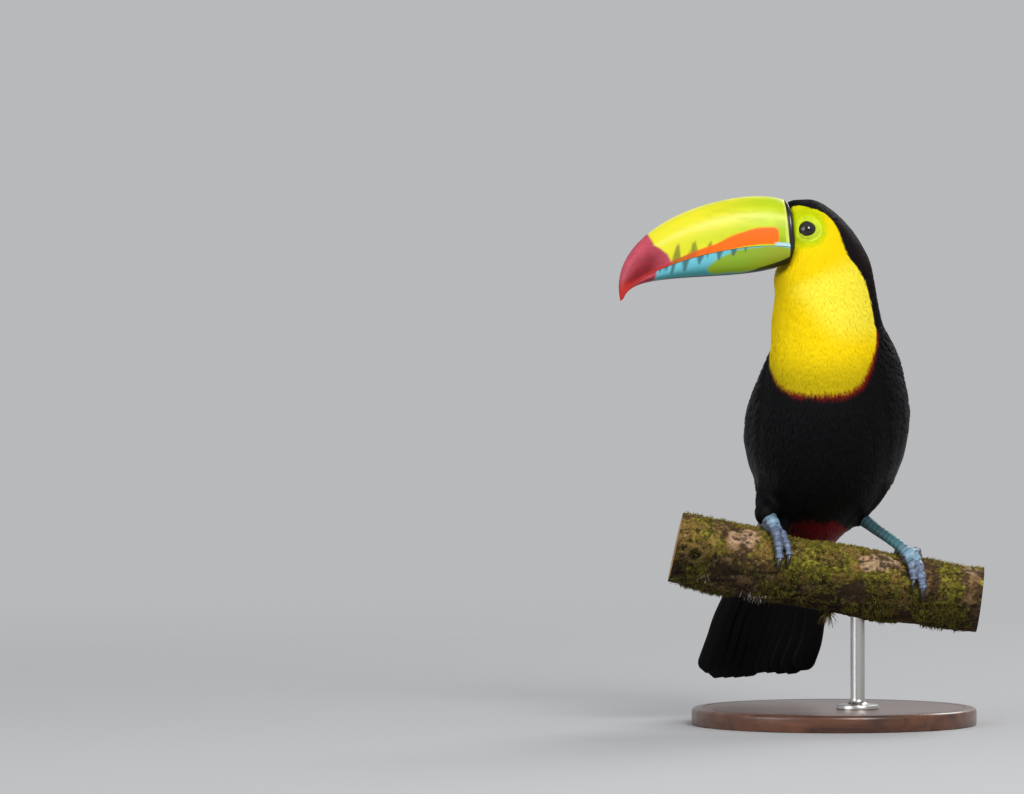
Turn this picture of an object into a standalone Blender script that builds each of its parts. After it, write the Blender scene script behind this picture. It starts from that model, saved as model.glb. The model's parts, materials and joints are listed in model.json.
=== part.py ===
"""A keel-billed toucan perched on a cut branch, life size, held by a disc stand with one rod.

Metres, +Z up. The bird faces -Y and has its head turned to its own right, so the bill points to -X.
The origin is the middle of the stand's underside. Lengths in the tables below are in millimetres.
"""

import math

import bmesh
import bpy
import numpy as np

MM = 0.001
GAP = 0.3  # between two pieces that meet
SIDES = {"left": 1.0, "right": -1.0}  # the bird's own left is at +X

# Head and bill are drawn in the head's own plane: forward along the bill, up, and to the bird's left.
HEAD_YAW = 77.0  # degrees from -Y towards -X
HEAD_ORIGIN = np.array([-33.6, -20.4, 345.8])  # the middle of the bill's base

# Cubic curves in the head's plane, (forward, up): the upper ridge, the mouth line and the lower edge.
CULMEN = ((0.0, 21.5), (26.2, 35.7), (133.7, 10.3), (119.7, -47.5))
MOUTH = ((0.0, -10.3), (33.3, -3.8), (114.4, -22.9), (118.2, -46.0))
GONYS = ((0.0, -21.0), (25.6, -36.5), (110.0, -24.5), (116.6, -43.5))
BILL_HALF_WIDTH = 18.0
BILL_KEEL = 0.16  # share of the height over which the top narrows to its ridge
BILL_RINGS = 18
BILL_SEGMENTS = 6  # on each side of a mandible
BILL_START = 0.041  # share of the bill's curves that lies behind its first ring
RIM_THICKNESS = 3.0  # the dark rim where the bill meets the face

# Sections of head and upper neck: front (forward, up), back (forward, up), half width, yaw.
HEAD_SECTIONS = (
    ((0.6, -22.4), (0.6, 21.8), 18.2, 77),  # face, against the bill's rim
    ((-1.0, -25.6), (-10.5, 22.9), 21.6, 77),  # eyes
    ((7.0, -29.6), (-21.8, 19.8), 24.2, 77),  # crown
    ((9.2, -34.0), (-38.6, 7.0), 27.0, 77),  # ears
    ((8.2, -40.0), (-52.6, -12.0), 30.0, 75),  # nape
    ((7.8, -46.5), (-60.8, -33.0), 32.8, 68),  # throat
)
# Sections of lower neck and trunk: middle x, y, z, yaw, pitch of the belly side, half depth, half width.
TRUNK_SECTIONS = (
    (-6.3, -13.0, 286.0, 47, -1, 37.5, 37.2),  # neck base
    (-4.6, -12.0, 266.0, 26, -7, 42.0, 39.6),  # shoulders
    (-4.0, -9.5, 245.0, 12, -13, 47.0, 45.0),  # upper breast
    (-5.2, -4.5, 222.0, 8, -19, 51.0, 49.5),  # breast
    (-6.5, 4.5, 200.0, 8, -25, 50.5, 50.2),  # belly
    (-7.0, 17.0, 178.0, 8, -31, 46.0, 46.0),  # lower belly
    (-11.5, 32.5, 156.5, 7, -36, 37.5, 41.0),  # flanks
    (-19.5, 48.0, 134.0, 4, -38, 25.5, 32.0),  # vent
    (-27.5, 61.5, 112.0, 0, -34, 14.0, 28.5),  # tail coverts
)
BODY_STEPS = 3  # rings from one section to the next
BODY_SEGMENTS = 24
BODY_SQUARENESS = 2.15  # superellipse exponent, 2 is an ellipse
NECK_SECTION, TRUNK_SECTION = 4, 7  # where the head ends and where the trunk starts

EYE_RADIUS = 6.6
EYE_FORWARD, EYE_UP, EYE_SIDE = -9.4, 2.1, 18.4
EYE_CLEARANCE = 0.4

# Folded wing over the trunk's side: place along the trunk in sections, the lower and upper edge as
# degrees round it from the breast line, and the thickness.
WING_SECTIONS = (
    (0.5, 98, 120, 1.2),  # shoulder joint
    (1.1, 80, 138, 1.8),
    (2.1, 70, 152, 4.0),  # wrist
    (3.3, 70, 162, 7.4),
    (4.6, 74, 167, 6.6),
    (5.8, 85, 168, 5.4),
    (6.9, 112, 166, 4.4),
    (7.6, 130, 160, 2.6),  # wing tip
)
WING_STEPS = 2
WING_CLEARANCE = 1.2
WING_EDGE = 0.9  # thickness at the rim
WING_SEGMENTS = 7

# Tail: middle x, y, z, half width, half thickness, bow of the fan.
TAIL_SECTIONS = (
    (-27.5, 61.5, 112.0, 28.5, 14.0, 0.0),
    (-33.6, 69.5, 96.5, 31.5, 9.0, 1.0),
    (-39.4, 75.5, 82.0, 36.2, 5.2, 2.5),
    (-44.9, 82.5, 64.0, 39.8, 2.8, 4.0),
    (-50.0, 88.5, 48.5, 39.4, 1.6, 5.0),
)
TAIL_STEPS = 2
TAIL_EDGE = 0.5  # half thickness at the fan's edge
TAIL_TIP_REACH = 21.5  # from the last section to the feather tips
TAIL_TIP_SLOPE = 8.7  # how much further the right edge's feathers reach, and the left edge's less
TAIL_TIP_STEP = 2.5  # the same for the two halves, as a step between them
TAIL_SEGMENTS = 12

# Branch: a bar along X that slopes down to the bird's left and bows a little.
PERCH_ENDS = (-112.0, 102.0)
PERCH_Y = -12.0
PERCH_Z = 103.2
PERCH_SLOPE = -0.172
PERCH_BOW = 0.000225  # rise for each square of the distance from the middle
PERCH_RADIUS = 23.8
PERCH_TAPER = -0.010
PERCH_KNOBBLE = 0.8
PERCH_RINGS = 18
PERCH_SEGMENTS = 20

# Legs. The ball of a foot is at (x, degrees round the branch from its top towards the front). A thigh
# is its upper and lower end. A toe is x at its root and tip, degrees at root and tip, and root radius.
LEGS = {
    "left": {
        "ball": (49.0, 28.0),
        "heel": (20.6, 10.0, 143.4),
        "thigh": ((27.6, 11.0, 171.0), (20.7, 10.6, 147.2)),
        "thigh_radii": (14.0, 8.4, 4.2),
        "toes": {
            "outer_front": (52.0, 60.4, 30.0, 82.0, 3.4),
            "inner_front": (48.4, 53.4, 30.0, 70.0, 2.8),
            "outer_rear": (50.0, 57.0, 24.0, -60.0, 3.1),
            "inner_rear": (47.0, 38.5, 24.0, -44.0, 2.6),
        },
    },
    "right": {
        "ball": (-50.5, 8.0),
        "heel": (-44.9, -0.6, 149.0),
        "thigh": ((-39.0, 14.0, 178.0), (-46.2, 0.6, 146.4)),
        "thigh_radii": (15.5, 12.0, 9.0),
        "toes": {
            "outer_front": (-50.2, -39.6, 10.0, 74.0, 3.4),
            "inner_front": (-47.5, -34.9, 10.0, 66.0, 2.8),
            "outer_rear": (-52.5, -60.0, 4.0, -64.0, 3.1),
            "inner_rear": (-48.5, -44.5, 4.0, -52.0, 2.6),
        },
    },
}
THIGH_NARROWS = 0.75  # share of its length down to its second radius
SHANK_RADII = (3.9, 3.2, 3.5)  # heel, shin, ankle
BALL_RADIUS = 5.0
TOE_TAPER = 0.76  # tip radius to root radius
TOE_JOINT = 0.2  # how far a joint swells
TOE_CLEARANCE = 0.5  # above the bark
TOE_RINGS = 9
TOE_SEGMENTS = 8
CLAW_SHARE = 0.8  # claw root radius to toe tip radius
CLAW_POINT = 0.4
CLAW_SWEEP = 24.0  # degrees round the branch
CLAW_ARCH = 1.6
CLAW_RINGS = 5

STAND_BASE_RADIUS = 100.0
STAND_BASE_HEIGHT = 12.0
STAND_BASE_ROUND = 3.0
STAND_CENTRE_Y = 6.0
ROD_X = 16.0
ROD_RADIUS = 5.0
ROD_FLANGE_RADIUS = 15.0
ROD_FLANGE_HEIGHT = 3.0
ROD_DEPTH = 13.0  # how far the rod goes into the branch
BASE_SEGMENTS = 32
ROD_SEGMENTS = 24

COLOURS = {  # base colour, roughness, metallic
    "plumage_black": ((0.012, 0.011, 0.013), 0.6, 0.0),
    "plumage_yellow": ((0.90, 0.72, 0.02), 0.65, 0.0),
    "bill_horn": ((0.62, 0.78, 0.06), 0.25, 0.0),
    "bill_rim": ((0.015, 0.015, 0.015), 0.4, 0.0),
    "eye": ((0.02, 0.02, 0.015), 0.08, 0.0),
    "foot_skin": ((0.16, 0.35, 0.45), 0.5, 0.0),
    "claw": ((0.05, 0.045, 0.04), 0.35, 0.0),
    "bark": ((0.22, 0.16, 0.09), 0.9, 0.0),
    "stand_wood": ((0.11, 0.05, 0.025), 0.35, 0.0),
    "stand_steel": ((0.55, 0.54, 0.52), 0.3, 1.0),
}


def clear_scene():
    for obj in list(bpy.data.objects):
        bpy.data.objects.remove(obj)


def material(name):
    """The named Principled material, made once."""
    found = bpy.data.materials.get(name)
    if found:
        return found
    colour, roughness, metallic = COLOURS[name]
    made = bpy.data.materials.new(name)
    made.use_nodes = True
    shader = made.node_tree.nodes["Principled BSDF"]
    shader.inputs["Base Color"].default_value = (*colour, 1.0)
    shader.inputs["Roughness"].default_value = roughness
    shader.inputs["Metallic"].default_value = metallic
    made.diffuse_color = (*colour, 1.0)
    return made


# Lines and rows


def unit(vector):
    return vector / np.linalg.norm(vector)


def circle_angles(count):
    return np.arange(count) * 2 * math.pi / count


def smooth_rows(rows, steps):
    """Rows of numbers joined by Catmull-Rom curves, with steps rows to each span."""
    rows = np.asarray(rows, float)
    padded = np.vstack([2 * rows[0] - rows[1], rows, 2 * rows[-1] - rows[-2]])
    made = []
    for k in range(1, len(padded) - 2):
        before, start, end, after = padded[k - 1 : k + 3]
        for t in np.arange(steps) / steps:
            slope = 0.5 * t * (end - before)
            bend = t * t * (before - 2.5 * start + 2 * end - 0.5 * after)
            twist = t**3 * (1.5 * (start - end) + 0.5 * (after - before))
            made.append(start + slope + bend + twist)
    made.append(rows[-1])
    return np.array(made)


def row_at(rows, place):
    """The row at a fractional place, straight between its neighbours."""
    columns = np.arange(len(rows))
    return np.array([np.interp(place, columns, column) for column in np.transpose(rows)])


def cubic(points, t):
    """The Bezier curve through its first and last point, at t."""
    a, b, c, d = (np.array(point) for point in points)
    return (1 - t) ** 3 * a + 3 * (1 - t) ** 2 * t * b + 3 * (1 - t) * t**2 * c + t**3 * d


def yaw_direction(degrees):
    """The level direction that many degrees from -Y towards -X."""
    angle = math.radians(degrees)
    return np.array([-math.sin(angle), -math.cos(angle), 0.0])


HEAD_FORWARD = yaw_direction(HEAD_YAW)
HEAD_LEFT = np.cross([0, 0, 1], HEAD_FORWARD)


def head_point(forward, up, side=0.0):
    return HEAD_ORIGIN + forward * HEAD_FORWARD + np.array([0, 0, up]) + side * HEAD_LEFT


# Meshes


def add_object(name, mesh, material_name):
    obj = bpy.data.objects.new(name, mesh)
    bpy.context.scene.collection.objects.link(obj)
    mesh.materials.append(material(material_name))
    mesh.shade_smooth()
    mesh.set_sharp_from_angle(angle=math.radians(40))
    return obj


def cap_faces(start, count, strip):
    """One flat face over a ring, or a strip of quads between its first and its second half."""
    if not strip:
        return [tuple(range(start, start + count))]
    last = start + count - 1
    return [(start + j, start + j + 1, last - j - 1, last - j) for j in range(count // 2 - 1)]


def loft(name, rings, material_name, strip=False):
    """A closed skin over rings of equal point count, in millimetres."""
    rings = np.asarray(rings, float) * MM
    count = rings.shape[1]
    faces = [face[::-1] for face in cap_faces(0, count, strip)]
    for k in range(len(rings) - 1):
        low, high = k * count, (k + 1) * count
        for j in range(count):
            after = (j + 1) % count
            faces.append((low + j, low + after, high + after, high + j))
    faces += cap_faces((len(rings) - 1) * count, count, strip)
    mesh = bpy.data.meshes.new(name)
    mesh.from_pydata([tuple(point) for point in rings.reshape(-1, 3)], [], faces)
    shape = bmesh.new()
    shape.from_mesh(mesh)
    bmesh.ops.recalc_face_normals(shape, faces=shape.faces)
    if shape.calc_volume(signed=True) < 0:
        bmesh.ops.reverse_faces(shape, faces=shape.faces)
    shape.to_mesh(mesh)
    shape.free()
    return add_object(name, mesh, material_name)


def ball(name, middle, radius, segments, material_name):
    mesh = bpy.data.meshes.new(name)
    shape = bmesh.new()
    bmesh.ops.create_uvsphere(shape, u_segments=segments, v_segments=segments // 2 + 1, radius=radius * MM)
    bmesh.ops.translate(shape, verts=shape.verts, vec=middle * MM)
    shape.to_mesh(mesh)
    shape.free()
    return add_object(name, mesh, material_name)


def round_tube(path, radii, segments):
    """Rings of those radii about the path, kept square to it and turned as little as possible."""
    path = np.asarray(path, float)
    tangents = np.gradient(path, axis=0)
    tangents /= np.linalg.norm(tangents, axis=1, keepdims=True)
    side = unit(np.cross(tangents[0], [0.31, 0.22, 0.93]))
    angles = circle_angles(segments)
    rings = []
    for point, tangent, radius in zip(path, tangents, radii):
        side = unit(side - tangent * (side @ tangent))
        up = np.cross(tangent, side)
        rings.append(point + radius * (np.outer(np.cos(angles), side) + np.outer(np.sin(angles), up)))
    return np.array(rings)


def hide_helper(obj):
    obj.hide_render = True
    obj.display_type = "WIRE"


def combine(obj, other, operation):
    step = obj.modifiers.new(operation.lower(), "BOOLEAN")
    step.operation = operation
    step.object = other


def cut_away(obj, cutter, clearance=GAP):
    """Takes another object's own mesh, as it is before its modifiers, grown by the clearance, out of obj."""
    grown = cutter.copy()
    grown.data = cutter.data.copy()
    grown.name = f"cutter_{obj.name}_{cutter.name}"
    grown.modifiers.clear()
    bpy.context.scene.collection.objects.link(grown)
    shape = bmesh.new()
    shape.from_mesh(grown.data)
    shape.normal_update()
    for vert in shape.verts:
        vert.co += vert.normal * clearance * MM
    shape.to_mesh(grown.data)
    shape.free()
    hide_helper(grown)
    combine(obj, grown, "DIFFERENCE")


# Head, neck and trunk


def body_sections():
    """All sections as rows: middle x, y, z, yaw, pitch, half depth, half width."""
    rows = []
    for front, back, width, yaw in HEAD_SECTIONS:
        span = np.subtract(front, back)
        middle = head_point(*(np.add(front, back) / 2))
        pitch = math.degrees(math.atan2(span[1], span[0]))
        rows.append((*middle, yaw, pitch, np.hypot(*span) / 2, width))
    return rows + list(TRUNK_SECTIONS)


def section_axes(row):
    """The middle of a section, the direction to its belly side and the one to the bird's left."""
    level = yaw_direction(row[3])
    pitch = math.radians(row[4])
    front = math.cos(pitch) * level + np.array([0, 0, math.sin(pitch)])
    return np.array(row[:3]), front, np.cross([0, 0, 1], level)


def section_points(row, angles):
    """Points round a section, with angle 0 on the belly line and 90 degrees on the bird's left."""
    middle, front, left = section_axes(row)
    c, s = np.cos(angles), np.sin(angles)
    share = (np.abs(c) ** BODY_SQUARENESS + np.abs(s) ** BODY_SQUARENESS) ** (-1 / BODY_SQUARENESS)
    return middle + np.outer(row[5] * c * share, front) + np.outer(row[6] * s * share, left)


def body_ring(row):
    """A ring whose points keep their compass direction, so that the neck's turn doesn't skew the faces."""
    return section_points(row, circle_angles(BODY_SEGMENTS) + math.radians(row[3]))


def shifted(row, distance):
    """The same section moved square to itself, towards the tail."""
    middle, front, left = section_axes(row)
    moved = np.array(row, float)
    moved[:3] = middle + distance * np.cross(left, front)
    return moved


def make_body(rows):
    """Head, neck and trunk, lofted whole and parted by two thin cuts."""
    spans = {
        "head": (0, NECK_SECTION, "plumage_yellow"),
        "neck": (NECK_SECTION, TRUNK_SECTION, "plumage_yellow"),
        "trunk": (TRUNK_SECTION, len(HEAD_SECTIONS) + len(TRUNK_SECTIONS) - 1, "plumage_black"),
    }
    nodes = {}
    for name, (first, last, colour) in spans.items():
        part = list(rows[first * BODY_STEPS : last * BODY_STEPS + 1])
        part[0] = shifted(part[0], GAP / 2)
        part[-1] = shifted(part[-1], -GAP / 2)
        nodes[name] = loft(name, [body_ring(row) for row in part], colour)
    return nodes


def make_eyes(head):
    for side, sign in SIDES.items():
        middle = head_point(EYE_FORWARD, EYE_UP, sign * EYE_SIDE)
        eye = ball(f"eye_{side}", middle, EYE_RADIUS, 12, "eye")
        cut_away(head, eye, EYE_CLEARANCE)


# Bill


def bill_width(t):
    """Half width along the bill: nearly even at first, then closing to the hook."""
    return BILL_HALF_WIDTH * (1 - 0.30 * t - 0.62 * t**3)


def upper_profile(h):
    """Share of the half width at a share of the height: widest low down, rounding in to the ridge."""
    return np.maximum(np.sqrt(np.clip(1 - h**2.6, 0, 1)), BILL_KEEL * (1 - h) + 0.02)


def lower_profile(h):
    """The same for the lower mandible: widest at the mouth line, rounding in below."""
    return np.sqrt(np.clip(1 - (1 - h) ** 2.4, 0, 1)) * 0.96 + 0.02


def mandible(name, low_curve, high_curve, profile):
    """A mandible between two edges, with rings closer together towards the hook."""
    heights = 0.5 - 0.5 * np.cos(np.linspace(0, math.pi, BILL_SEGMENTS + 1))
    rings = []
    for t in 1 - (1 - np.linspace(BILL_START, 0.985, BILL_RINGS)) ** 1.15:
        low, high = cubic(low_curve, t), cubic(high_curve, t)
        line = low + heights[:, None] * (high - low)
        widths = bill_width(t) * profile(heights)
        left = [head_point(*p, w) for p, w in zip(line, widths)]
        right = [head_point(*p, -w) for p, w in zip(line[::-1], widths[::-1])]
        rings.append(left + right)
    return loft(name, rings, "bill_horn", strip=True)


def moved_curve(points, forward, up):
    return tuple((x + forward, y + up) for x, y in points)


def make_bill():
    """Two mandibles that meet along the mouth line, and the dark rim behind them."""
    mandible("bill_upper", moved_curve(MOUTH, GAP, GAP / 2), moved_curve(CULMEN, GAP, 0), upper_profile)
    mandible("bill_lower", moved_curve(GONYS, GAP, 0), moved_curve(MOUTH, GAP, -GAP / 2), lower_profile)
    face = body_sections()[0]
    places = np.linspace(GAP / 2, RIM_THICKNESS, 3)
    loft("bill_rim", [body_ring(shifted(face, -place)) for place in places], "bill_rim")


# Wings and tail


def trunk_surface(rows, place, angle):
    """Point and outward direction on the trunk, at a place counted in sections from the neck base."""
    row = row_at(rows, (len(HEAD_SECTIONS) + place) * BODY_STEPS)
    _, front, left = section_axes(row)
    point = section_points(row, np.array([angle]))[0]
    return point, unit(math.cos(angle) / row[5] * front + math.sin(angle) / row[6] * left)


def make_wing(side, sign, rows):
    """A folded wing: a thin dome that follows the trunk's side from the shoulder to the rump."""
    rings = []
    for place, low, high, thickness in smooth_rows(WING_SECTIONS, WING_STEPS):
        outer, inner = [], []
        for s in np.linspace(-1, 1, WING_SEGMENTS):
            angle = sign * math.radians((low + high) / 2 + s * (high - low) / 2)
            point, outward = trunk_surface(rows, place, angle)
            dome = WING_EDGE + (thickness - WING_EDGE) * math.sqrt(1 - s * s)
            inner.append(point + WING_CLEARANCE * outward)
            outer.append(point + (WING_CLEARANCE + dome) * outward)
        rings.append(outer + inner[::-1])
    return loft(f"wing_{side}", rings, "plumage_black", strip=True)


def tail_reach(s):
    """How far the feather tips stand past the last section, from the fan's right edge at s = -1."""
    step = TAIL_TIP_REACH - TAIL_TIP_SLOPE * s - TAIL_TIP_STEP * np.tanh(8 * s)
    right = 1 - 0.42 * np.clip(-s, 0, 1) ** 14
    left = 1 - 0.8 * np.clip(s, 0, 1) ** 7
    return step * right * left


def make_tail():
    """A flat fan in two halves, that thins from the coverts to the feather tips."""
    rows = smooth_rows(TAIL_SECTIONS, TAIL_STEPS)
    back = unit(np.subtract(TAIL_SECTIONS[-1][:3], TAIL_SECTIONS[-2][:3]))
    _, coverts_front, coverts_left = section_axes(TRUNK_SECTIONS[-1])
    fan_left = unit(coverts_left - back * (coverts_left @ back))
    fan_up = np.cross(fan_left, back)
    s = np.sin(np.linspace(-1, 1, TAIL_SEGMENTS + 1) * math.pi / 2)
    dome = np.sqrt(np.clip(1 - np.abs(s) ** 2.3, 0, 1))
    rings = []
    for k, (x, y, z, width, thick, bow) in enumerate(rows):
        share = k / (len(rows) - 1)
        left = unit(fan_left * share + coverts_left * (1 - share))
        up = unit(fan_up * share - coverts_front * (1 - share))
        middle = np.array([x, y, z]) + (GAP * back if k == 0 else 0)
        spread = middle + np.outer(s * width, left) - np.outer(bow * s * s, up)
        half = np.outer(np.maximum(TAIL_EDGE, thick * dome), up)
        rings.append(np.concatenate([spread + half, (spread - half)[::-1]]))
    reach = tail_reach(s)
    both = np.concatenate([reach, reach[::-1]])
    last = rings[-1]
    rings += [last + np.outer(both * share, back) for share in (0.35, 0.7, 1.0)]
    return loft("tail", rings, "plumage_black", strip=True)


# Branch


def perch_middle(x):
    return np.array([x, PERCH_Y, PERCH_Z + PERCH_SLOPE * x + PERCH_BOW * x * x])


def perch_radius(x, angle):
    """The branch's radius at x, at an angle in radians from its top towards the front."""
    knobs = math.sin(0.061 * x + 2 * angle) + 0.7 * math.sin(0.113 * x - 3 * angle + 1.3)
    return PERCH_RADIUS + PERCH_TAPER * x + PERCH_KNOBBLE * knobs


def perch_surface(x, angle, above=0.0):
    """A point that far above the bark, and the direction out of it."""
    slope = PERCH_SLOPE + 2 * PERCH_BOW * x
    up = unit(np.array([-slope, 0.0, 1.0]))
    outward = math.cos(angle) * up + math.sin(angle) * np.array([0, -1.0, 0])
    return perch_middle(x) + (perch_radius(x, angle) + above) * outward, outward


def make_perch():
    places = np.linspace(*PERCH_ENDS, PERCH_RINGS)
    rings = [[perch_surface(x, a)[0] for a in circle_angles(PERCH_SEGMENTS)] for x in places]
    return loft("perch", rings, "bark")


# Legs and feet


def make_thigh(side, leg, covers):
    """The feathered upper leg, cut clear of what it comes out from under."""
    start, end = (np.array(point) for point in leg["thigh"])
    share = np.linspace(0, 1, 7)
    radii = np.interp(share, (0, THIGH_NARROWS, 1), leg["thigh_radii"])
    rings = round_tube(start + share[:, None] * (end - start), radii, 14)
    thigh = loft(f"thigh_{side}", rings, "plumage_black")
    for cover in covers:
        cut_away(thigh, cover, 2 * GAP)
    return thigh


def wrapped_path(x_ends, turn_ends, radii, arch=0.0):
    """A path on the bark, as high as its own radius, that swings to its end's x early on."""
    path = []
    for share, radius in zip(np.linspace(0, 1, len(radii)), radii):
        x = x_ends[0] + share**0.75 * (x_ends[1] - x_ends[0])
        turn = math.radians(turn_ends[0] + share * (turn_ends[1] - turn_ends[0]))
        path.append(perch_surface(x, turn, radius + TOE_CLEARANCE + arch * math.sin(math.pi * share))[0])
    return np.array(path)


def make_claw(name, toe, toe_end, x, turn, sign, toe_tip):
    """A claw that goes on from the toe's end, arched and thinning to its point."""
    radii = np.linspace(CLAW_SHARE * toe_tip, CLAW_POINT, CLAW_RINGS)
    path = wrapped_path((x, x), (turn, turn + sign * CLAW_SWEEP), radii, CLAW_ARCH)
    path += toe_end - path[0]
    claw = loft(name, round_tube(path, radii, TOE_SEGMENTS), "claw")
    cut_away(claw, toe)


def make_foot(side, leg):
    """The ball of the foot joined to its four toes, and four claws. Returns the ball and the toes."""
    x, turn = leg["ball"]
    middle, _ = perch_surface(x, math.radians(turn), BALL_RADIUS + GAP)
    foot = ball(f"foot_{side}", middle, BALL_RADIUS, 10, "foot_skin")
    pieces = [foot]
    for name, (x_root, x_tip, turn_root, turn_tip, root) in leg["toes"].items():
        share = np.linspace(0, 1, TOE_RINGS)
        radii = root * (1 + (TOE_TAPER - 1) * share) + TOE_JOINT * np.cos(share * 4 * math.pi)
        path = wrapped_path((x_root, x_tip), (turn_root, turn_tip), radii)
        toe = loft(f"toe_{side}_{name}", round_tube(path, radii, TOE_SEGMENTS), "foot_skin")
        hide_helper(toe)
        combine(foot, toe, "UNION")
        pieces.append(toe)
        sign = math.copysign(1, turn_tip - turn_root)
        make_claw(f"claw_{side}_{name}", toe, path[-1], x_tip, turn_tip, sign, root * TOE_TAPER)
    return pieces


def make_shank(side, leg, covers):
    """The bare lower leg from the heel to the ball of the foot, cut clear of what it meets."""
    x, turn = leg["ball"]
    middle, outward = perch_surface(x, math.radians(turn), BALL_RADIUS + GAP)
    heel = np.array(leg["heel"])
    bend = heel + 0.75 * (middle - heel) + 1.5 * outward
    path = smooth_rows([heel, (heel + bend) / 2, bend, middle], 3)
    radii = np.interp(np.linspace(0, 1, len(path)), (0, 0.45, 1), SHANK_RADII)
    shank = loft(f"shank_{side}", round_tube(path, radii, 10), "foot_skin")
    for cover in covers:
        cut_away(shank, cover)


# Stand


def lathe(name, profile, centre, segments, material_name):
    """A solid turned about a vertical line through centre, from (radius, height) points."""
    angles = circle_angles(segments)
    circle = np.stack([np.cos(angles), np.sin(angles)], axis=1)
    rings = [np.column_stack([circle * r + centre, np.full(segments, z)]) for r, z in profile]
    return loft(name, rings, material_name)


def make_stand(perch):
    """A disc with a rounded rim, and a rod on a small flange that ends inside the branch."""
    r, h, e = STAND_BASE_RADIUS, STAND_BASE_HEIGHT, STAND_BASE_ROUND
    turns = np.linspace(0, math.pi / 2, 4)
    rim = [(r - e + e * math.cos(a), h - e + e * math.sin(a)) for a in turns]
    profile = [(r - 1.0, 0.0), (r, 1.0), *rim]
    lathe("stand_base", profile, (0.0, STAND_CENTRE_Y), BASE_SEGMENTS, "stand_wood")
    foot = h + GAP
    flange = foot + ROD_FLANGE_HEIGHT
    top = perch_middle(ROD_X)[2] - PERCH_RADIUS + ROD_DEPTH
    profile = [
        (ROD_FLANGE_RADIUS, foot),
        (ROD_FLANGE_RADIUS, flange - 1.0),
        (ROD_FLANGE_RADIUS - 1.0, flange),
        (ROD_RADIUS + 2.0, flange + 0.6),
        (ROD_RADIUS, flange + 2.6),
        (ROD_RADIUS, top - 1.0),
        (ROD_RADIUS - 1.0, top),
    ]
    rod = lathe("stand_rod", profile, (ROD_X, PERCH_Y), ROD_SEGMENTS, "stand_steel")
    cut_away(perch, rod)


def main():
    clear_scene()
    rows = smooth_rows(body_sections(), BODY_STEPS)
    body = make_body(rows)
    make_eyes(body["head"])
    make_bill()
    make_tail()
    for side, sign in SIDES.items():
        wing = make_wing(side, sign, rows)
        thigh = make_thigh(side, LEGS[side], (body["trunk"], wing))
        make_shank(side, LEGS[side], (body["trunk"], thigh, *make_foot(side, LEGS[side])))
    make_stand(make_perch())


main()
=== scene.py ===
import json
import math

import bmesh
import bpy
import numpy as np
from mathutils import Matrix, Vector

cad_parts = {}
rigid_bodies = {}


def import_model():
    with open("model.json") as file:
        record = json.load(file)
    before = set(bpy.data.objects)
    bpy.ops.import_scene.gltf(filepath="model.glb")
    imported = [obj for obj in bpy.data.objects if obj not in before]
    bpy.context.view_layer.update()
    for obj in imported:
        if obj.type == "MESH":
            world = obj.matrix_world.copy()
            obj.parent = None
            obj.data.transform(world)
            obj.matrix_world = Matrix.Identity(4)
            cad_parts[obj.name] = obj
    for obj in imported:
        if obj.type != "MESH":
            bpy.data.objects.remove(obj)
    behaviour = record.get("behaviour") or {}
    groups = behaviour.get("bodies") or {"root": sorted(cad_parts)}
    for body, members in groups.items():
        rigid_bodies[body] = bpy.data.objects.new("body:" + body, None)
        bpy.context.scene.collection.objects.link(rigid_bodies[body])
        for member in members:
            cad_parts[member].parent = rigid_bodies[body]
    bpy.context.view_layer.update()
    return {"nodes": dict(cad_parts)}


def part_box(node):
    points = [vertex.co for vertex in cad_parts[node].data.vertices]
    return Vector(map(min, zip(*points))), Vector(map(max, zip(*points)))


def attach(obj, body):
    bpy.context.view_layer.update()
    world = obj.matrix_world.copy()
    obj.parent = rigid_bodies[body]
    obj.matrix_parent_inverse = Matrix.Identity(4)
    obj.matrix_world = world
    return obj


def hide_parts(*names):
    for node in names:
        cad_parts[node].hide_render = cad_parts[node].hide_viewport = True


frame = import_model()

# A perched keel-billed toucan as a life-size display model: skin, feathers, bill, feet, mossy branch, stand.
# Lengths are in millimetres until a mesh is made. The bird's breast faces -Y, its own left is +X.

mm = 0.001
sides = {"left": 1.0, "right": -1.0}


def unit(vectors):
    return vectors / np.maximum(np.linalg.norm(vectors, axis=-1, keepdims=True), 1e-12)


def smoothStep(low, high, x):
    # 3t^2 - 2t^3, with t the share of the way from low to high
    t = np.clip((x - low) / (high - low), 0, 1)
    return t * t * (3 - 2 * t)


def linear(red, green, blue):
    # screen colour, 0 to 255, to linear light
    c = np.array([red, green, blue]) / 255
    return np.where(c <= 0.04045, c / 12.92, ((c + 0.055) / 1.055) ** 2.4)


def hump(x, low, lowFull, highFull, high):
    # 0 up to low, 1 from lowFull to highFull, 0 again past high
    return smoothStep(low, lowFull, x) * smoothStep(high, highFull, x)


def bell(x, middle, width):
    # exp(-((x - middle) / width)^2): 1 at the middle, falling away on both sides
    return np.exp(-(((x - middle) / width) ** 2))


def outlineShare(c, s):
    # how far a superellipse of power 2.15 reaches, in shares of the half widths, by cosine and sine
    return (np.abs(c) ** 2.15 + np.abs(s) ** 2.15) ** (-1 / 2.15)


def mix(a, b, share):
    # a where share is 0, b where it is 1, one share for each row
    return a + (b - a) * np.asarray(share)[..., None]


def layered(colour, palette, *layers):
    # the palette's colours laid over a colour one by one, each by its share
    for name, share in layers:
        colour = mix(colour, palette[name], share)
    return colour


def readOff(table, x):
    # rows of (place, value) read at x, straight between them
    return np.interp(x, *np.array(table).T)


def squareTo(vectors, direction):
    # each vector less its part along the direction, at length 1
    return unit(vectors - direction * (vectors * direction).sum(-1, keepdims=True))


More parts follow.
